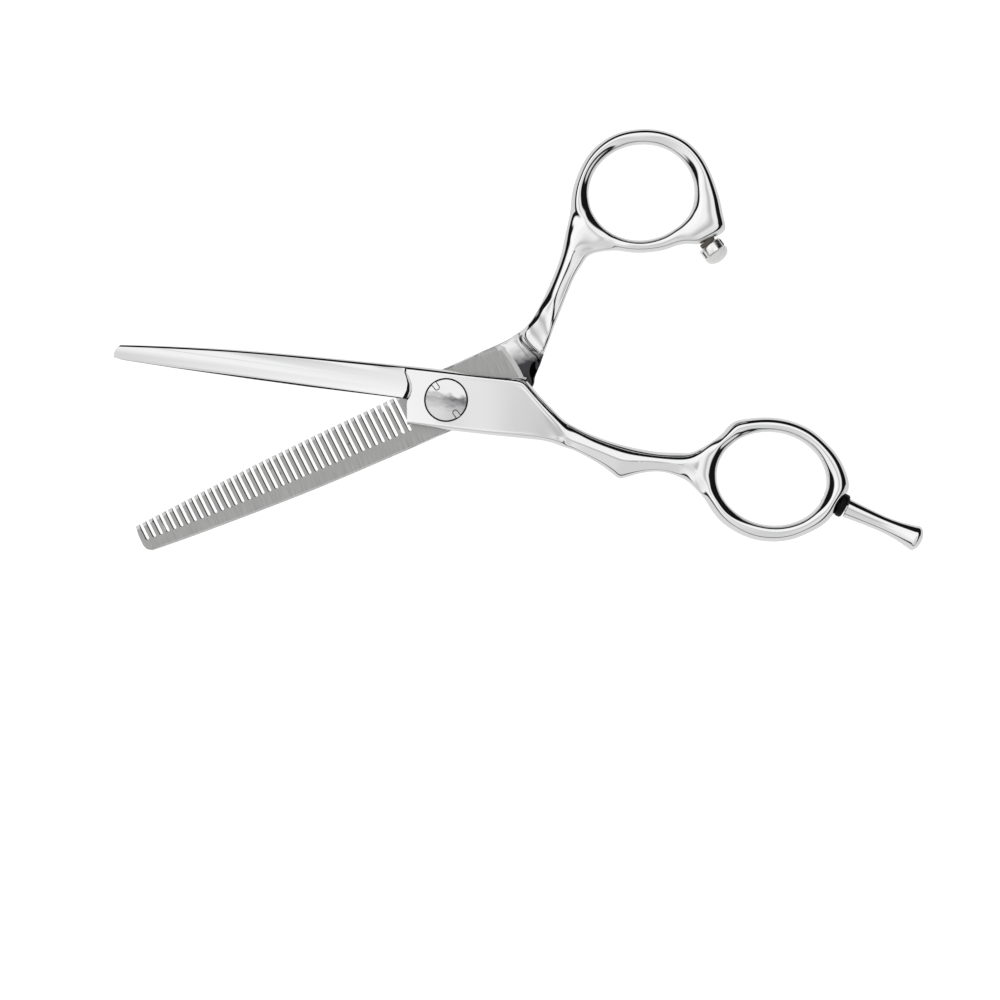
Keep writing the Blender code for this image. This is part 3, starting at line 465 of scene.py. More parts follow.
# Sections of a shank: rim, ridge and rim
SHANK_START = ((25.6, -1.28), (25.4, -3.92), (25.6, -5.85))
FINGER_SHANK = [
    ((27.9, -2.05), (27.6, -4.45), (27.0, -6.12)), ((31.0, -2.88), (30.2, -5.05), (29.6, -6.95)),
    ((34.2, -3.5), (33.6, -5.85), (33.1, -8.3)), ((36.4, -3.82), (36.0, -6.45), (35.6, -9.62)),
    ((37.6, -3.95), (37.3, -6.6), (36.9, -10.2)), ((39.0, -4.05), (38.8, -6.5), (38.3, -9.85)),
    ((41.8, -4.12), (41.6, -6.15), (41.2, -8.62)), ((45.2, -4.02), (45.2, -5.88), (45.2, -7.8)),
    ((48.5, -3.62), (48.7, -5.75), (48.9, -8.25)), ((51.3, -2.82), (51.5, -5.3), (51.5, -9.4))]
# Half height of the ridge over each of these sections, and of the one below it
FINGER_RIDGES = (2.12, 2.3, 2.45, 2.55, 2.6, 2.62, 2.62, 2.64, 2.66)
FINGER_UNDERS = (2.1, 2.4, 2.55, 2.6, 2.62, 2.62, 2.62, 2.64, 2.66)
FINGER_WEB_HALF = 2.66
# A ring's sections: direction from its centre in degrees, and width. The joined ones grow out of
# the shank, and JOINED_RIM is their outer edge, as in FINGER_TUBE
JOINED_RIM = [
    (0.92, 0.52), (0.96, 0.74), (1.0, 0.88), (1.05, 0.91), (1.05, 0.91), (1.0, 0.88), (0.96, 0.76),
    (0.92, 0.56)]
FINGER_JOINED = list(zip(range(152, 209, 8), (3.0, 3.3, 3.6, 3.7, 3.7, 3.7, 3.6, 3.5)))
FINGER_FREE = [
    (218, 3.3), (232, 3.37), (248, 3.35), (264, 3.38), (280, 3.3), (296, 3.22), (312, 3.12),
    (326, 3.38), (337, 3.5), (345, 3.5), (352, 3.72), (359, 4.3), (6, 4.62), (16, 4.2), (30, 3.6),
    (46, 3.08), (64, 3.0), (82, 2.93), (98, 2.93), (112, 3.05), (123, 3.35), (131, 3.62),
    (139, 3.3)]
FINGER_ROUND = ((125, 236), (350, 368))
BLADE_TIP = [(-66.2, 3.0), (-66.7, 1.35), (-67.45, 0.55), (-67.8, -0.4), (-67.75, -1.4)]
CUTTING_EDGE = [
    (-66.0, -1.6), (-55.0, -1.68), (-40.0, -1.6), (-28.0, -1.45), (-18.0, -1.2), (-8.0, -0.95)]
HEEL = [(-7.9, -1.0), (-7.02, -6.1)]
# The step from the blade's facet up to the pivot's flat: its upper edge, and its hollow, as
# fractions of its height outwards and upwards
STEP_EDGE = [
    (-8.9, 7.5), (-8.5, 4.3), (-7.75, 3.2), (-7.2, 2.1), (-7.0, 0.8), (-7.2, -0.5), (-7.62, -1.2),
    (-7.6, -8.0)]
STEP_FILLET = [
    (0.95, 0.0), (0.78, 0.06), (0.60, 0.16), (0.42, 0.28), (0.26, 0.41), (0.13, 0.58), (0.05, 0.78),
    (0.0, 1.0)]
# Width of the bevel behind the cutting edge, along the blade
BEVEL_WIDTH = [
    (-68.0, 0.05), (-56.0, 0.08), (-46.0, 0.34), (-28.0, 0.36), (-16.0, 0.24), (-7.0, 0.16)]
BEVEL_RISE = 0.85
BLADE_RIM = 0.5
BLADE_RIM_GROWTH = 0.06
BLADE_FULLNESS = 0.85
EDGE_ALLOWANCE = 1.2         # extra height along the cutting edge, which the facet cutter removes
RICASSO_FULLNESS = 0.88
SHANK_ROOT_RIM = 0.9


def finger_sections():
    sections = []
    for station, (upper, flat_upper, flat_lower, lower) in enumerate(BLADE_STATIONS):
        flat = tuple(facet_z(p[1]) + GRIND_ALLOWANCE for p in (flat_upper, flat_lower))
        rim = UPPER_INNER_Z + BLADE_RIM + BLADE_RIM_GROWTH * station
        flat = (flat[0], flat[1] + EDGE_ALLOWANCE)
        top = edge_row(upper, flat_upper, flat_lower, lower, flat, rim, BLADE_FULLNESS)
        bottom = inset_row(upper, lower, UPPER_INNER_Z, UPPER_INNER_Z + 0.25)
        sections.append((top, bottom))
    for upper, flat_upper, flat_lower, lower in RICASSO_STATIONS:
        flat = tuple(crown_z(p[0]) for p in (flat_upper, flat_lower))
        top = edge_row(upper, flat_upper, flat_lower, lower, flat, UPPER_RIM_Z,
                       RICASSO_FULLNESS)
        bottom = inset_row(upper, lower, UPPER_INNER_Z, UPPER_INNER_Z + 0.35, 0.7)
        sections.append((top, bottom))
    flat = crown_z(SHANK_ROOT_RIDGE[0])
    bottom = spar(SHANK_ROOT[0], SHANK_ROOT_RIDGE, SHANK_ROOT[3], flat - MID_Z, SPAR_RIM, 1.0)[1]
    top = edge_row(*SHANK_ROOT, flat, MID_Z + SHANK_ROOT_RIM, RICASSO_FULLNESS)
    sections.append((top, bottom))
    start_half = crown_z(SHANK_START[1][0]) - MID_Z
    sections.append(spar(*SHANK_START, start_half, SPAR_RIM, 1.7))
    for station, high, low in zip(FINGER_SHANK[:-1], FINGER_RIDGES, FINGER_UNDERS):
        sections.append(spar(*station, high, SPAR_RIM, low))
    sections.append(web(*FINGER_SHANK[-1], FINGER_WEB_HALF))
    return sections


def finger_half():
    sections = finger_sections()
    plates = len(BLADE_STATIONS) + len(RICASSO_STATIONS)
    joined = [(a, w, (rim, JOINED_CREST), JOINED_INSIDE)
              for (a, w), rim in zip(FINGER_JOINED, JOINED_RIM)]
    free = [(a, w, FINGER_TUBE, inside(a, w, FINGER_ROUND)) for a, w in FINGER_FREE]
    creases = {}
    creases[2, 0, plates] = 1.0
    creases[2, plates, plates + 2] = 0.5
    creases[5, 0, plates + 8] = 1.0
    creases[5, plates + 8, plates + 10] = 0.4
    for line in (10, 13):
        creases[line, 0, plates - 1] = 1.0
    creases["across", 0, 15] = (0, 1.0)
    creases["across", 8, 15] = (plates - 1, 0.6)
    body = forging("straight_forging", sections, FINGER_RING, joined, free, creases)
    cut(body, facet_cutter())
    cut(body, prism("outline", BLADE_TIP + CUTTING_EDGE + HEEL
                    + [(-7.0, -9.0), (CUT_END_X, -9.0), (CUT_END_X, 3.0)], 1.5, 8.0))
    cut(body, bevel_cutter())
    cut(body, bored("bore", [(PIVOT_BORE_RADIUS, 0.5, COUNTERBORE_FLOOR_Z),
                             (COUNTERBORE_RADIUS, COUNTERBORE_FLOOR_Z, 9.0)]))
    cut_stud_hole(body, REST_STUD_HOLE, REST_MATRIX)
    settle(body)
    return body


def facet_cutter():
    """Clears everything above the blade's facet, up to the hollow step at the pivot's flat."""
    points = []
    ceiling = 7.0
    for x, y in STEP_EDGE:
        foot = facet_z(y)
        rise = UPPER_OUTER_Z - foot
        points.append((CUT_END_X, y, foot))
        points += [(x - out * rise, y, foot + up * rise) for out, up in STEP_FILLET]
        points += [(x + 0.1, y, ceiling), (CUT_END_X, y, ceiling)]
    faces = tube_faces(len(STEP_EDGE), len(points) // len(STEP_EDGE))
    return solid("facet", points, faces)


def bevel_cutter():
    """Takes the narrow bevel off the facet, along the cutting edge."""
    path = [(-69.0, -1.5)] + CUTTING_EDGE[:-1] + [(-9.0, -0.98)]
    points = []
    for x, y in path:
        width = along(BEVEL_WIDTH, x)
        shoulder = facet_z(y + width)
        points += [(x, y - 1.0, shoulder - BEVEL_RISE * (width + 1.0)),
                   (x, y + width + 1.0, shoulder + BEVEL_RISE), (x, y - 1.0, 6.0)]
    return solid("bevel", points, tube_faces(len(path), 3))


# ---- comb half

def comb_facet_z(y):
    return COMB_FACET_Z + COMB_FACET_SLOPE * (y - COMB_FACET_Y)


# Sections of the comb's plate: rim and rim
COMB_STATIONS = [
    ((-69.5, 0.6), (-69.5, -6.3)), ((-60.0, 1.5), (-60.0, -6.72)), ((-45.0, 2.9), (-45.0, -7.0)),
    ((-30.0, 4.1), (-30.0, -7.02)), ((-16.0, 5.1), (-16.0, -6.65)), ((-5.5, 5.9), (-5.0, -6.25)),
    ((3.0, 6.15), (3.0, -6.0)), ((9.0, 6.45), (9.5, -5.85))]
# Upper rows of points where the ride face ends, drops into a hollow and climbs to the shank
RIDE_END = [
    (14.0, 6.65, 2.55), (14.4, 6.2, 2.82), (14.9, 5.0, 2.9), (15.6, 3.1, 2.9), (16.1, 0.9, 2.9),
    (16.3, -1.4, 2.9), (16.4, -2.9, 2.82), (16.5, -4.1, 2.5)]
RELIEF = [
    (16.6, 6.88, 2.45), (16.7, 6.4, 2.55), (17.0, 5.2, 2.45), (17.5, 3.6, 2.35), (18.0, 1.9, 2.35),
    (18.1, 0.2, 2.5), (18.0, -1.3, 2.45), (18.25, -2.35, 2.0)]
WALL_FOOT = [
    (18.7, 7.35, 2.75), (18.6, 6.9, 2.9), (18.5, 5.9, 2.75), (18.8, 4.7, 2.68), (19.6, 3.1, 2.62),
    (20.2, 1.6, 2.5), (20.0, 0.5, 1.95), (20.2, -0.25, 1.75)]
LEAF_START = [
    (20.4, 7.85, 3.8), (20.2, 7.5, 4.5), (19.75, 6.7, LEAF_Z), (19.75, 5.3, LEAF_Z),
    (20.3, 3.6, LEAF_Z), (21.1, 2.0, LEAF_Z), (21.35, 1.7, 4.6), (21.7, 1.45, 3.9)]
LEAF_MIDDLE = [
    (22.7, 9.2, 3.8), (22.8, 8.85, 4.5), (23.0, 8.2, LEAF_Z), (23.1, 6.9, LEAF_Z),
    (23.2, 5.6, LEAF_Z), (23.4, 4.3, LEAF_Z), (23.6, 3.95, 4.6), (23.85, 3.75, 3.9)]
LEAF_END = [
    (24.9, 11.0, 3.9), (25.05, 10.6, 4.5), (25.15, 9.9, LEAF_Z), (25.5, 9.0, LEAF_Z),
    (25.6, 8.0, LEAF_Z), (25.45, 6.9, LEAF_Z), (25.6, 6.5, 4.6), (25.95, 6.15, 3.9)]
# Rim height and inset of the underside below each of these rows
THUMB_UNDERS = ((LOWER_RIM_Z, 1.2), (LOWER_RIM_Z, 1.4), (1.15, 1.6), (1.3, 1.5), (1.5, 1.4),
                (1.7, 1.5))
THUMB_SHANK = [
    ((27.2, 13.1), (28.3, 11.7), (29.5, 10.0)), ((30.7, 16.7), (31.8, 15.3), (33.1, 13.7)),
    ((33.1, 19.7), (34.4, 18.0), (35.8, 15.8)), ((34.9, 22.5), (36.3, 19.9), (38.3, 16.8))]
THUMB_SHANK_HALF = 2.62
THUMB_JOINED = list(zip(range(187, 237, 7), (4.2, 3.7, 3.5, 3.4, 3.3, 3.2, 3.1, 3.0)))
THUMB_FREE = [
    (246, 2.6), (258, 2.5), (270, 2.55), (282, 2.8), (292, 3.05), (301, 4.0), (308, 5.5),
    (315, 6.5), (321, 7.4), (327, 7.9), (334, 6.75), (344, 5.4), (356, 4.35), (8, 3.85), (22, 3.65),
    (38, 3.58), (54, 3.38), (70, 3.2), (86, 3.1), (102, 3.15), (118, 3.08), (134, 2.95),
    (149, 2.83), (163, 3.05), (175, 3.5)]
BOSS_STATIONS = (308, 315, 321, 327)
THUMB_ROUND = ((110, 200), (15, 45))
THUMB_JOINED_FADE = (204, 250)   # directions over which the joined sections turn crisp
COMB_BLADE_COUNT = 5             # how many of COMB_STATIONS the facet underneath covers
COMB_STEP_RUN = 0.5
COMB_STEP_EDGE = ((-7.2, -9.0), (-7.6, -3.0), (-8.1, 2.0), (-8.6, 9.0))
# Corner cut out of the shank, so that it clears the straight half when closed
CLOSING_RELIEF = [(19.2, 3.39), (20.83, 2.06), (23.73, -0.09), (22.5, -1.5), (18.0, 1.5)]
COMB_TIP = [(-67.9, -2.8), (-67.75, -4.9), (-67.35, -5.85), (-66.6, -6.3), (-65.8, -7.5)]


def thumb_sections():
    sections = []
    for station, (upper, lower) in enumerate(COMB_STATIONS):
        top = inset_row(upper, lower, LOWER_INNER_Z, LOWER_INNER_Z - 0.2, 0.35)
        if station < COMB_BLADE_COUNT:
            flat = [comb_facet_z(y) - GRIND_ALLOWANCE for y in (upper[1], lower[1] + 0.8)]
            bottom = edge_row(upper, toward(upper, lower, 0.5), toward(lower, upper, 0.8), lower,
                              tuple(flat), (flat[0] + 0.1, 1.55))
        else:
            bottom = inset_row(upper, lower, LOWER_OUTER_Z, LOWER_RIM_Z, 1.2)
        sections.append((top, bottom))
    rows = (RIDE_END, RELIEF, WALL_FOOT, LEAF_START, LEAF_MIDDLE, LEAF_END)
    for row, (rim, inset) in zip(rows, THUMB_UNDERS):
        bottom = inset_row(row[0][:2], row[-1][:2], LOWER_OUTER_Z, rim, inset)
        sections.append((list(row), bottom))
    for station in THUMB_SHANK[:-1]:
        sections.append(spar(*station, THUMB_SHANK_HALF, THUMB_SPAR_RIM, slope=THUMB_FLANK_SLOPE))
    sections.append(web(*THUMB_SHANK[-1], THUMB_SHANK_HALF))
    return sections


def thumb_half():
    sections = thumb_sections()
    plates = len(COMB_STATIONS)
    joined = [(a, w, (rim, JOINED_CREST),
               blend(JOINED_INSIDE, CRISP_INSIDE, share_of(a, *THUMB_JOINED_FADE)))
              for (a, w), rim in zip(THUMB_JOINED, JOINED_RIM)]
    free = [(a, w, BOSS_TUBE if a in BOSS_STATIONS else THUMB_TUBE, inside(a, w, THUMB_ROUND))
            for a, w in THUMB_FREE]
    creases = {}
    for line in (2, 5):
        creases[line, 0, plates] = 1.0
        creases[line, plates + 3, plates + 5] = 1.0
    for line in (10, 13):
        creases[line, 0, plates + 4] = 1.0
    creases["across", 0, 15] = (0, 1.0)
    creases["across", 1, 6] = (plates, 1.0)
    body = forging("comb_forging", sections, THUMB_RING, joined, free, creases)
    cut(body, comb_facet_cutter())
    heel = [(-6.4, 7.0), (-6.6, 5.6), (-7.2, 4.8)]
    cut(body, prism("comb outline", COMB_TIP + [(CUT_END_X, -7.5), (CUT_END_X, 7.0)] + heel
                    + list(TOOTH_LINE[::-1]), -2.0, 5.0))
    cut(body, tooth_bevel_cutter())
    cut(body, slot_cutter())
    cut(body, prism("closing relief", CLOSING_RELIEF, 2.8, 6.0))
    cut(body, bored("comb bore", [
        (NUT_POCKET_RADIUS, -1.0, NUT_POCKET_ROOF_Z),
        (PIVOT_BORE_RADIUS, NUT_POCKET_ROOF_Z, WASHER_POCKET_FLOOR_Z),
        (WASHER_POCKET_RADIUS, WASHER_POCKET_FLOOR_Z, 3.6)]))
    cut_stud_hole(body, BUMPER_STUD_HOLE, BUMPER_CLOSED_MATRIX)
    settle(body)
    body.data.transform(OPENED)
    return body


def comb_facet_cutter():
    """Thins the comb from underneath, up to a slanted step."""
    points = []
    floor_z = -1.0
    for x, y in COMB_STEP_EDGE:
        root = comb_facet_z(y)
        reach = COMB_STEP_RUN * (root - LOWER_OUTER_Z)
        points += [(CUT_END_X, y, root), (x - reach, y, root), (x, y, LOWER_OUTER_Z),
                   (x, y, floor_z), (CUT_END_X, y, floor_z)]
    faces = tube_faces(len(COMB_STEP_EDGE), 5)
    return solid("comb facet", points, faces)


def tooth_bevel_cutter():
    """Takes a shallow bevel off the ride face along the tips of the teeth."""
    width, drop = TOOTH_BEVEL
    points = []
    path = [(-72.0, -1.2)] + list(TOOTH_LINE) + [(-5.0, 4.66)]
    for x, y in path:
        points += [(x, y + width, LOWER_INNER_Z - 2 * drop), (x, y - width, LOWER_INNER_Z),
                   (x, y - width, 6.0), (x, y + width, 6.0)]
    return solid("tooth bevel", points, tube_faces(len(path), 4))


def slot_cutter():
    """All slots of the comb in one mesh: thin prisms with a round floor, square to the tips."""
    (x0, y0), (x1, y1) = TOOTH_LINE[0], TOOTH_LINE[-1]
    lean = math.atan2(y1 - y0, x1 - x0)
    ux, uy = math.cos(lean), math.sin(lean)
    half = SLOT_WIDTH / 2
    arc = 8
    points, faces = [], []
    for slot in range(SLOT_COUNT):
        x = FIRST_SLOT_X + SLOT_PITCH * slot
        top_y = along(TOOTH_LINE, x)
        depth = (top_y - along(SLOT_FLOOR, x)) * math.cos(lean) - half
        faces += tube_faces(4, arc + 3, len(points))
        for z, spread in ((-1.0, 0), (LOWER_INNER_Z - SLOT_BEVEL[1], 0),
                          (LOWER_INNER_Z, SLOT_BEVEL[0]), (LOWER_INNER_Z + 1, SLOT_BEVEL[0])):
            right, left = half + 0.2 * spread, half + spread
            turns = [math.pi * i / arc for i in range(arc + 1)]
            outline = [(right, 1.5)]
            outline += [((right if i < arc / 2 else left) * math.cos(a),
                         -depth - (half + 0.5 * spread) * math.sin(a))
                        for i, a in enumerate(turns)]
            outline += [(-left, 1.5)]
            points += [(x + a * ux - b * uy, top_y + a * uy + b * ux, z) for a, b in outline]
    return solid("slots", points, faces)


# ---- turned parts

# Profiles are (radius, height) outlines. The screw's heights are above the bottom of the nut. The
# others run outwards from REST_ORIGIN, REST_WASHER_CENTRE or, at the collar's outer rim,
# BUMPER_ORIGIN
SCREW_PROFILE = [
    (0, 0.45), (1.5, 0.45), (1.7, 0.7), (1.7, 4.35), (4.19, 4.35), (4.19, 5.35), (4.1, 5.45),
    (0, 5.45)]
SCREW_TURN = 135.0
NOTCH_FLOOR_Z = 4.95
NOTCH_LEVELS = ((NOTCH_FLOOR_Z, 0.42), (5.45, 0.62), (6.2, 0.62))    # height, half width
NOTCH_END = 3.15
NOTCH_OPENING = 5.2
REST_PROFILE = [
    (1.2, -0.2), (1.85, -0.2), (1.95, -0.1), (1.95, 0.2), (1.87, 1.6), (1.76, 3.5), (1.67, 5.6),
    (1.62, 7.5), (1.68, 9.3), (1.85, 11.1), (2.13, 12.9), (2.42, 14.3), (2.54, 14.75), (2.57, 15.0),
    (2.5, 15.35), (2.2, 15.75), (1.6, 16.1), (0.8, 16.35), (0, 16.42), (0, -5.3), (0.8, -5.3),
    (1.0, -5.1), (1.0, -0.2)]
REST_WASHER_CENTRE = (82.55, -9.25)
REST_WASHER_ANGLE = -20.0
REST_WASHER_PROFILE = [
    (1.3, -0.95), (2.05, -0.95), (2.28, -0.85), (2.42, -0.6), (2.46, -0.2), (2.42, 0.17),
    (2.28, 0.42), (2.05, 0.53), (1.3, 0.53)]
COLLAR_PROFILE = [
    (0, -5.6), (0.75, -5.6), (0.9, -5.4), (0.9, -1.95), (2.1, -1.95), (2.36, -1.9), (2.47, -1.75),
    (2.5, -1.6), (2.5, -0.15), (2.46, -0.05), (2.35, 0), (1.3, 0), (1.3, -1.0), (0, -1.0)]
CAP_PROFILE = [
    (0, -0.9), (1.2, -0.9), (1.2, 0.08), (2.42, 0.08), (2.51, 0.18), (2.54, 0.4), (2.5, 0.75),
    (2.3, 1.25), (1.85, 1.72), (1.2, 2.02), (0.6, 2.15), (0, 2.2)]
NECK_PROFILE = [
    (1.0, -2.9), (1.5, -2.9), (1.62, -2.8), (1.65, -2.45), (1.62, -2.12), (1.5, -1.98),
    (1.0, -1.98)]
FLUTES = 6
FLUTE_PHASE = 20.0
FLUTE_SHAPE = ((2.25, -0.5), (3.2, -0.6), (3.2, 0.6), (2.25, 0.5))
FLUTE_FLOOR_Z = -1.45


def screw_head():
    """The tension screw, with two U-shaped notches in its face."""
    screw = turned("faced_screw", SCREW_PROFILE, 128)
    arc = 10
    for side in (0, 180):
        points = []
        for z, half in NOTCH_LEVELS:
            outline = [(NOTCH_OPENING, -half), (NOTCH_END, -half)]
            outline += [(NOTCH_END - half * math.sin(math.pi * i / arc),
                         -half * math.cos(math.pi * i / arc)) for i in range(1, arc)]
            outline += [(NOTCH_END, half), (NOTCH_OPENING, half)]
            points += [(x, y, z) for x, y in rotated(outline, SCREW_TURN + side)]
        cut(screw, solid("notch", points, tube_faces(len(NOTCH_LEVELS), len(outline))))
    settle(screw)
    return screw


def placed(name, profile, matrix):
    piece = turned(name, profile, 96)
    piece.data.shade_smooth()
    piece.data.set_sharp_from_angle(angle=math.radians(TURNED_SMOOTH_ANGLE))
    piece.matrix_world = matrix
    return piece


def fluted_collar(matrix):
    collar = turned("fluted_collar", COLLAR_PROFILE, 120)
    for flute in range(FLUTES):
        outline = rotated(FLUTE_SHAPE, FLUTE_PHASE + 360 / FLUTES * flute)
        cut(collar, prism("flute", outline, FLUTE_FLOOR_Z, 1.0))
    settle(collar)
    collar.matrix_world = matrix
    return collar


# ---- materials

class Tree:
    """Short way to write nodes."""

    def __init__(self, tree):
        self.tree = tree

    def add(self, kind, **settings):
        node = self.tree.nodes.new(kind)
        for key, value in settings.items():
            if key in node.inputs.keys():
                node.inputs[key].default_value = value
            else:
                setattr(node, key, value)
        return node

    def link(self, source, target):
        self.tree.links.new(source, target)

    def feed(self, socket, value):
        """Give an input a number, or link another node's output to it."""
        if isinstance(value, (int, float)):
            socket.default_value = value
        else:
            self.link(value, socket)

    def math(self, operation, *values):
        node = self.add("ShaderNodeMath", operation=operation)
        for socket, value in zip(node.inputs, values):
            self.feed(socket, value)
        return node.outputs["Value"]

    def ramp(self, value, start, end, low, high, shape="SMOOTHSTEP"):
        node = self.add("ShaderNodeMapRange", interpolation_type=shape)
        for key, number in zip(("Value", "From Min", "From Max", "To Min", "To Max"),
                               (value, start, end, low, high)):
            self.feed(node.inputs[key], number)
        return node.outputs["Result"]

    def axes(self, vector):
        split = self.add("ShaderNodeSeparateXYZ")
        self.link(vector, split.inputs["Vector"])
        return [split.outputs[axis] for axis in "XYZ"]


class Nodes(Tree):
    """The nodes of a material."""

    def __init__(self, name, colour, metallic, roughness):
        self.material = bpy.data.materials.new(name)
        self.material.use_nodes = True
        super().__init__(self.material.node_tree)
        self.shader = self.tree.nodes["Principled BSDF"]
        self.shader.inputs["Base Color"].default_value = (*colour, 1.0)
        self.shader.inputs["Metallic"].default_value = metallic
        self.shader.inputs["Roughness"].default_value = roughness
        self.material.diffuse_color = (*colour, 1.0)

    def object_coordinates(self, stretch=(1, 1, 1), turn=0.0):
        """Object coordinates in millimetres, turned about Z and then stretched along each axis."""
        coords = self.add("ShaderNodeTexCoord")
        mapping = self.add("ShaderNodeMapping", vector_type="TEXTURE",
                           Scale=tuple(MM / s for s in stretch),
                           Rotation=(0, 0, math.radians(turn)))
        self.link(coords.outputs["Object"], mapping.inputs["Vector"])
        return mapping.outputs["Vector"]

    def noise(self, vector, scale, detail=2.0):
        node = self.add("ShaderNodeTexNoise", Scale=scale, Detail=detail)
        self.link(vector, node.inputs["Vector"])
        return node.outputs["Fac"]

    def spread(self, value, low, high, start=0.3, end=0.7):
        return self.ramp(value, start, end, low, high, "LINEAR")

    def mix(self, share, first, second):
        """Give the material a colour between two others."""
        shade = self.add("ShaderNodeMix", data_type="RGBA")
        shade.inputs["A"].default_value = (*first, 1.0)
        shade.inputs["B"].default_value = (*second, 1.0)
        self.link(share, shade.inputs["Factor"])
        self.link(shade.outputs["Result"], self.shader.inputs["Base Color"])

    def tint(self, value, colour, contrast):
        """Colour that runs from a little darker to a little lighter with the value."""
        self.mix(self.spread(value, 0.0, 1.0), [c * (1 - contrast) for c in colour],
                 [min(c * (1 + contrast), 1.0) for c in colour])

    def vary_roughness(self, value, low, high):
        self.link(self.spread(value, low, high), self.shader.inputs["Roughness"])

    def bump(self, height, strength, distance=0.01):
        node = self.add("ShaderNodeBump", Strength=strength, Distance=distance * MM)
        self.link(height, node.inputs["Height"])
        self.link(node.outputs["Normal"], self.shader.inputs["Normal"])


MIRROR_COLOUR = (0.86, 0.86, 0.865)


def polished_steel(name, colour=MIRROR_COLOUR, roughness=0.06):
    """Mirror steel, with faint wiping marks in its roughness."""
    nodes = Nodes(name, colour, 1.0, roughness)
    marks = nodes.noise(nodes.object_coordinates((0.6, 4.0, 4.0)), 1.0, 3.0)
    nodes.vary_roughness(marks, roughness * 0.6, roughness * 1.5)
    return nodes.material


def satin_steel(name, colour, roughness, stretch, contrast=0.06, strength=0.05, turn=0.0):
    """Ground steel: fine parallel marks in the colour, the roughness and the surface."""
    nodes = Nodes(name, colour, 1.0, roughness)
    marks = nodes.noise(nodes.object_coordinates(stretch, turn), 1.0, 3.0)
    nodes.vary_roughness(marks, roughness * 0.8, roughness * 1.2)
    nodes.tint(marks, colour, contrast)
    nodes.bump(marks, strength)
    return nodes.material


def turned_steel(name, colour, roughness, anisotropy, rings=9.0):
    """Steel faced on a lathe: fine rings round the Z axis, which smear reflections outwards."""
    nodes = Nodes(name, colour, 1.0, roughness)
    x, y, _ = nodes.axes(nodes.object_coordinates())
    square = nodes.math("MULTIPLY_ADD", y, y, nodes.math("MULTIPLY", x, x))
    place = nodes.add("ShaderNodeCombineXYZ")
    nodes.link(nodes.math("POWER", square, 0.5), place.inputs["X"])
    marks = nodes.noise(place.outputs["Vector"], rings, 3.0)
    nodes.tint(marks, colour, 0.05)
    nodes.vary_roughness(marks, roughness * 0.8, roughness * 1.2)
    nodes.shader.inputs["Anisotropic"].default_value = anisotropy
    tangent = nodes.add("ShaderNodeTangent", direction_type="RADIAL", axis="Z")
    nodes.link(tangent.outputs["Tangent"], nodes.shader.inputs["Tangent"])
    return nodes.material


# The painted reflection on the screw, a grey band standing in for a dark object reflected in
# its face: colours, how far its edges wander, and the distances in millimetres over which it fades
# on its +Y side, on its -Y side and along X
REFLECTION_COLOURS = ((0.99, 0.99, 0.99), (0.17, 0.17, 0.18))
REFLECTION_WANDER = 0.55
REFLECTION_UPPER_FADE = (0.3, 1.5)
REFLECTION_LOWER_FADE = (-2.2, 0.4)
REFLECTION_SIDE_FADE = (-1.5, 1.5)


def steel_with_painted_reflection(name):
    """Bright ground steel with a painted reflection: a smoky grey band from its middle towards +X.
    """
    nodes = Nodes(name, (0.9, 0.9, 0.9), 1.0, 0.3)
    x, y, _ = nodes.axes(nodes.object_coordinates())
    reflection_noise = nodes.noise(nodes.object_coordinates((0.55, 1.0, 1.0)), 1.3, 4.0)
    across = nodes.math("ADD", y, nodes.spread(reflection_noise, -REFLECTION_WANDER, REFLECTION_WANDER))
    upper = nodes.spread(across, 1.0, 0.0, *REFLECTION_UPPER_FADE)
    lower = nodes.spread(across, 0.34, 1.0, *REFLECTION_LOWER_FADE)
    side = nodes.spread(x, 0.6, 1.0, *REFLECTION_SIDE_FADE)
    reflection_mask = nodes.math("MULTIPLY", nodes.math("MULTIPLY", upper, lower), side)
    nodes.mix(reflection_mask, *REFLECTION_COLOURS)
    return nodes.material


def shaded_steel(name, turn, start, end):
    """Polished steel that darkens between two distances along its own -Y, as in a deep hollow."""
    nodes = Nodes(name, MIRROR_COLOUR, 1.0, 0.12)
    place = nodes.object_coordinates(turn=turn)
    _, y, _ = nodes.axes(place)
    across = nodes.math("ADD", y, nodes.spread(nodes.noise(place, 0.7, 3.0), -0.5, 0.5))
    nodes.mix(nodes.spread(across, 0.0, 1.0, end, start), (0.05, 0.05, 0.055), MIRROR_COLOUR)
    return nodes.material


def moulded(name, colour, roughness, grain, strength, gloss=0.5):
    """Plastic or rubber with a fine grain in its surface and a slight unevenness of colour."""
    nodes = Nodes(name, colour, 0.0, roughness)
    nodes.shader.inputs["Specular IOR Level"].default_value = gloss
    grains = nodes.noise(nodes.object_coordinates(), grain, 2.0)
    nodes.tint(grains, colour, 0.06)
    nodes.vary_roughness(grains, roughness * 0.85, min(roughness * 1.15, 1.0))
    nodes.bump(grains, strength, 0.03)
    return nodes.material


# ---- assembly

RIDE_LIMIT = [(y, x) for x, y, z in reversed(RIDE_END)]     # where the ride face ends, by its Y
RIDE_BORDER = 0.9
RIDE_UP = 0.9                # least upward part of the normal of a face on the ride face
BEVEL_UP = 0.9995            # and above this the face is flat, not on the tooth bevel
HEEL_X = -6.0
HOLLOW_UP = 0.05
HOLLOW_END = (21.3, -0.15)   # where the hollow ends in X, and how that changes with Y
HOLLOW_Z = (1.0, 4.6)
HOLLOW_TOP_Y = 5.6
HOLLOW_SHADE = (5.2, 1.0)    # where along Y it starts to darken, and is darkest
GAP_TOP_Z = 5.1
GAP_ALLOWANCE = 0.05
NOTCH_Z = (4.96, 5.44)
NOTCH_REACH = 4.3
FLUTE_RADII = (2.26, 2.49)
FLUTE_Z = (-1.5, -0.01)
FLUTE_OUTWARD = 0.6          # most outward part of the normal of a flute's wall


def within(value, limits):
    return limits[0] < value < limits[1]


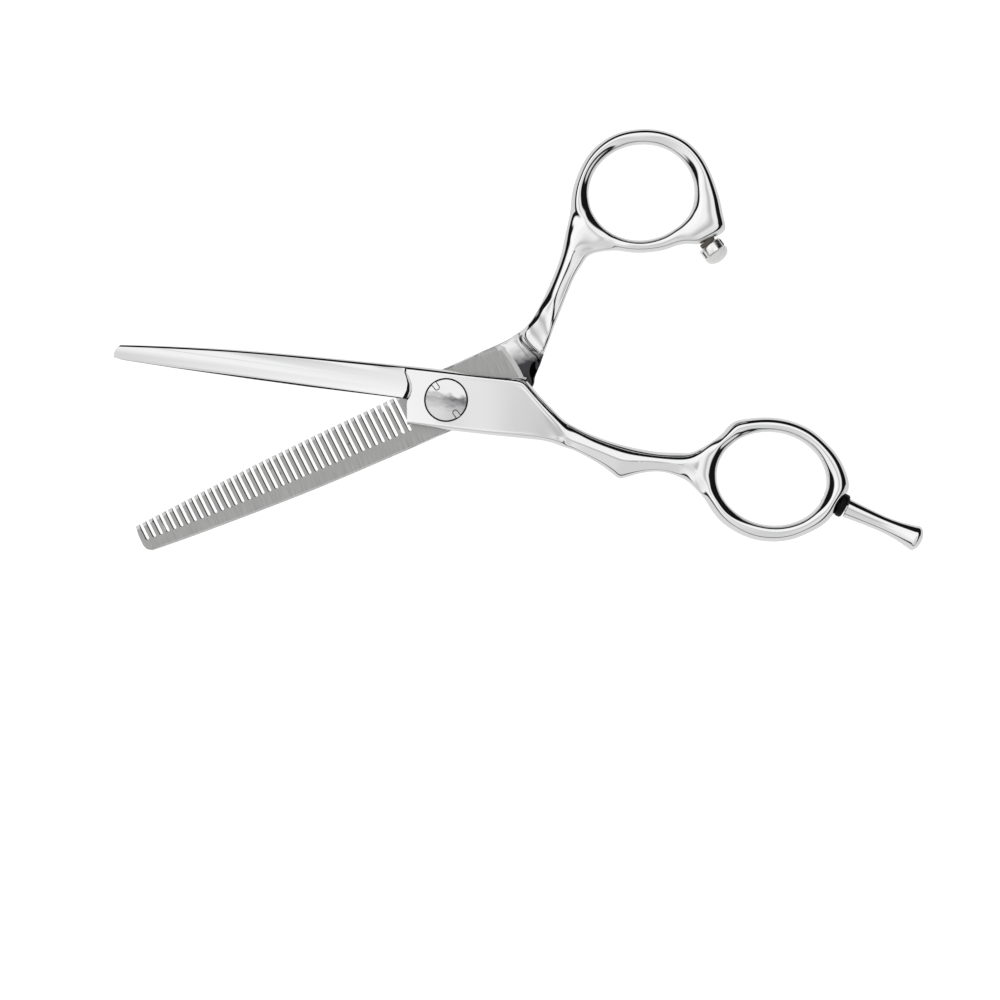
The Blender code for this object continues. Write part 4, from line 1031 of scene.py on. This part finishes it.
def comb_face_slot(place, normal):
    """Satin on the ride face, painted lighter on its border and bevel as a highlight, and shaded in
    the hollow.
    """
    place = OPENED.inverted() @ place
    ride_end = along(RIDE_LIMIT, place.y)
    if place.x < ride_end and normal.z > RIDE_UP:
        on_border = place.x > ride_end - RIDE_BORDER
        on_bevel = (normal.z < BEVEL_UP and place.x < HEEL_X
                    and place.y > along(TOOTH_LINE, place.x) - TOOTH_BEVEL[0])
        # Slot 2 is the lighter satin, a painted highlight.
        return 2 if on_border or on_bevel else 1
    past_ride = ride_end < place.x < HOLLOW_END[0] + HOLLOW_END[1] * place.y
    low = within(place.z, HOLLOW_Z) and place.y < HOLLOW_TOP_Y
    return 3 if past_ride and low and normal.z > HOLLOW_UP else 0


def straight_face_slot(place, normal):
    """Painted shade in the gap round the screw's head."""
    in_gap = math.hypot(place.x, place.y) < COUNTERBORE_RADIUS + GAP_ALLOWANCE
    return 1 if in_gap and place.z < GAP_TOP_Z else 0


def screw_face_slot(place, normal):
    """Painted shade in the notches and on the rim of the head."""
    near = math.hypot(place.x, place.y) < NOTCH_REACH
    return 1 if near and within(place.z, NOTCH_Z) else 0


def collar_face_slot(place, normal):
    """Painted shade on the walls of the flutes."""
    outward = Vector((place.x, place.y, 0)).normalized()
    in_flute = within(math.hypot(place.x, place.y), FLUTE_RADII) and within(place.z, FLUTE_Z)
    return 1 if in_flute and abs(normal.dot(outward)) < FLUTE_OUTWARD else 0


def paint(obj, materials, face_slot=None):
    """Give a piece its materials, and each face the one that face_slot picks by its place."""
    for material in materials:
        obj.data.materials.append(material)
    if face_slot:
        for face in obj.data.polygons:
            face.material_index = face_slot(face.center / MM, face.normal)


# Dark moulded look that paints shade into the gap, the notches and the flutes.
def painted_shade(name, colour):
    return moulded(name, colour, 0.5, 4.0, 0.2)


def ride_steel(name, colour, roughness, contrast):
    return satin_steel(name, colour, roughness, (5.0, 0.25, 1.0), contrast, turn=OPEN_ANGLE)


POLISHED = polished_steel("polished steel")

straight = finger_half()
# The dark ring in the gap round the screw's head is painted shade.
paint(straight, [POLISHED, painted_shade("painted gap shade", (0.02, 0.02, 0.02))], straight_face_slot)
comb = thumb_half()
paint(comb, [POLISHED,
             ride_steel("satin steel", (0.415, 0.415, 0.41), 0.34, 0.14),
             # The lighter satin on the ride face's border and tooth bevel is a painted highlight.
             ride_steel("satin with painted highlight", (0.62, 0.62, 0.62), 0.30, 0.08),
             shaded_steel("shaded hollow", OPEN_ANGLE, *HOLLOW_SHADE)], comb_face_slot)
screw = screw_head()
# The dark in the screw's notches and on the rim of its head is painted shade.
# The grey band on the screw's face is a painted reflection of a dark object.
paint(screw, [steel_with_painted_reflection("steel with painted reflection"), painted_shade("painted notch shade", (0.14, 0.13, 0.12))],
      screw_face_slot)
rest = placed("smooth_rest", REST_PROFILE, REST_MATRIX)
paint(rest, [POLISHED])
washer = placed("rubber_washer", REST_WASHER_PROFILE,
                axis_matrix(REST_WASHER_CENTRE, REST_WASHER_ANGLE))
paint(washer, [moulded("black rubber", (0.004, 0.004, 0.004), 0.45, 9.0, 0.3, 0.12)])
collar = fluted_collar(BUMPER_MATRIX)
# The dark on the walls of the collar's flutes is painted shade.
paint(collar, [polished_steel("turned collar", (0.95, 0.95, 0.945), 0.24),
               painted_shade("painted flute shade", (0.05, 0.045, 0.04))], collar_face_slot)
neck = placed("rubber_neck", NECK_PROFILE, BUMPER_MATRIX)
paint(neck, [moulded("dark rubber", (0.13, 0.115, 0.10), 0.55, 9.0, 0.3, 0.3)])
cap = placed("smooth_cap", CAP_PROFILE, BUMPER_MATRIX)
paint(cap, [moulded("white nylon", (0.97, 0.965, 0.95), 0.3, 5.0, 0.08)])

for piece, body, node, slot in (
        (screw, "tension_screw", "pivot_screw", "screw_steel"),
        (rest, "rest", "finger_rest", "rest_steel"),
        (washer, "rest_washer", "finger_rest_washer", "black_rubber"),
        (collar, "bumper", "bumper_collar", "collar_steel"),
        (neck, "bumper_washer", "bumper_neck", "dark_rubber"),
        (cap, "bumper", "bumper_cap", "white_nylon")):
    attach(piece, body)
    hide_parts(node)

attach(straight, "straight_half")
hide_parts("finger_half")
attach(comb, "comb_half")
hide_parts("thumb_half")

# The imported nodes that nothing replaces
NODE_LOOKS = {
    "pivot_nut": turned_steel("faced nut steel", (0.66, 0.66, 0.66), 0.35, 0.7),
    "tension_spring": satin_steel("spring steel", (0.50, 0.50, 0.52), 0.35, (3.0, 3.0, 3.0)),
    "head_washer": moulded("dark polymer", (0.03, 0.03, 0.03), 0.6, 6.0, 0.1),
    "pivot_bushing": moulded("acetal", (0.80, 0.80, 0.76), 0.45, 4.0, 0.1),
    "blade_washer": moulded("slip polymer", (0.85, 0.85, 0.85), 0.4, 4.0, 0.1),
}
for name, look in NODE_LOOKS.items():
    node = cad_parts[name]
    for entry in node.material_slots:
        entry.link = "OBJECT"
        entry.material = look

# ---- studio

# The light tent round the shears: at each compass direction in degrees, the lowest and highest
# sine of elevation of its dark gap, and how bright the walls are above and below the gap
TENT = (
    (0, -0.10, 0.77, 0.95, 0.70), (45, -0.32, 0.62, 1.0, 0.74), (90, -0.40, 0.54, 1.05, 0.76),
    (135, -0.10, 0.60, 1.1, 0.74), (180, 0.20, 0.70, 1.1, 0.76), (225, 0.25, 0.50, 0.93, 0.78),
    (270, 0.10, 0.27, 0.73, 0.78), (315, 0.27, 0.58, 0.88, 0.74), (360, -0.10, 0.77, 0.95, 0.70))
TENT_TURN = 8.5
GAP_LIGHT = 0.008
GAP_EDGE = 0.06
CEILING = 0.85
CEILING_LIMITS = (0.57, 1.02)
CEILING_FADE = 2.35          # how much the ceiling darkens per unit of direction along +X
CEILING_START = (0.93, 0.99)     # sines of elevation between which the ceiling takes over


class Sky(Tree):
    """The nodes of the world."""

    def __init__(self):
        world = bpy.data.worlds.new("studio")
        bpy.context.scene.world = world
        world.use_nodes = True
        super().__init__(world.node_tree)
        self.background = self.tree.nodes["Background"]
        self.background.inputs["Color"].default_value = (1, 1, 1, 1)

    def round_tent(self, azimuth, column):
        """Value of one column of TENT at this azimuth, as a fraction of a turn."""
        node = self.add("ShaderNodeFloatCurve")
        curve = node.mapping.curves[0]
        node.mapping.clip_min_y = -1.0
        node.mapping.clip_max_y = 2.0
        node.mapping.extend = "HORIZONTAL"
        while len(curve.points) < len(TENT):
            curve.points.new(0.5, 0.5)
        for point, row in zip(curve.points, TENT):
            point.location = (row[0] / 360, row[column])
            point.handle_type = "AUTO"
        node.mapping.update()
        self.feed(node.inputs["Value"], azimuth)
        return node.outputs["Value"]

    def gap_edge(self, sine, edge, low, high):
        """Soft step where the sine of elevation passes an edge of the gap."""
        start, end = (self.math(kind, edge, GAP_EDGE) for kind in ("SUBTRACT", "ADD"))
        return self.ramp(sine, start, end, low, high)


sky = Sky()
x, y, z = sky.axes(sky.add("ShaderNodeTexCoord").outputs["Generated"])
azimuth = sky.math("FRACT", sky.math("ADD", sky.math("DIVIDE", sky.math("ARCTAN2", y, x),
                                                     2 * math.pi), 2 - TENT_TURN / 360))
gap_low, gap_high, above, below = (sky.round_tent(azimuth, column) for column in (1, 2, 3, 4))
over = sky.gap_edge(z, gap_high, 0.0, 1.0)
under = sky.gap_edge(z, gap_low, 1.0, 0.0)
ceiling = sky.math("MULTIPLY_ADD", x, -CEILING_FADE, CEILING)
ceiling = sky.math("MINIMUM", sky.math("MAXIMUM", ceiling, CEILING_LIMITS[0]), CEILING_LIMITS[1])
zenith = sky.ramp(z, *CEILING_START, 0.0, 1.0)
walls = sky.math("ADD", above, sky.math("MULTIPLY", zenith, sky.math("SUBTRACT", ceiling, above)))
light = sky.math("ADD", sky.math("MULTIPLY", over, walls), sky.math("MULTIPLY", under, below))
light = sky.math("MAXIMUM", light, GAP_LIGHT)
path = sky.add("ShaderNodeLightPath")
sky.feed(sky.background.inputs["Strength"],
         sky.math("MAXIMUM", light, path.outputs["Is Camera Ray"]))

FLOOR_REACH = 1500
FLOOR_Z = -0.05
floor_corners = [(x * FLOOR_REACH, y * FLOOR_REACH, FLOOR_Z)
                 for x, y in ((-1, -1), (1, -1), (1, 1), (-1, 1))]
floor = solid("floor", floor_corners, [(0, 1, 2, 3)])
floor_nodes = Nodes("pale floor", (0.55, 0.55, 0.55), 0.0, 0.6)
floor_nodes.shader.inputs["Emission Color"].default_value = (1, 1, 1, 1)
floor_nodes.shader.inputs["Emission Strength"].default_value = 0.8
floor.data.materials.append(floor_nodes.material)
floor.visible_glossy = False

# ---- camera

VIEW_CENTRE = (13.74, -18.35)
VIEW_TURN = 8.5
VIEW_DISTANCE = 1000.0
VIEW_WIDTH = 202.2
SENSOR_WIDTH = 36.0
camera_data = bpy.data.cameras.new("camera")
camera_data.sensor_width = SENSOR_WIDTH
camera_data.lens = SENSOR_WIDTH * VIEW_DISTANCE / VIEW_WIDTH
camera_data.clip_start = 0.01
camera = add_object("camera", camera_data)
camera.location = Vector((*VIEW_CENTRE, MID_Z + VIEW_DISTANCE)) * MM
camera.rotation_euler = (0, 0, math.radians(VIEW_TURN))
bpy.context.scene.camera = camera
bpy.context.scene.view_settings.view_transform = "Standard"
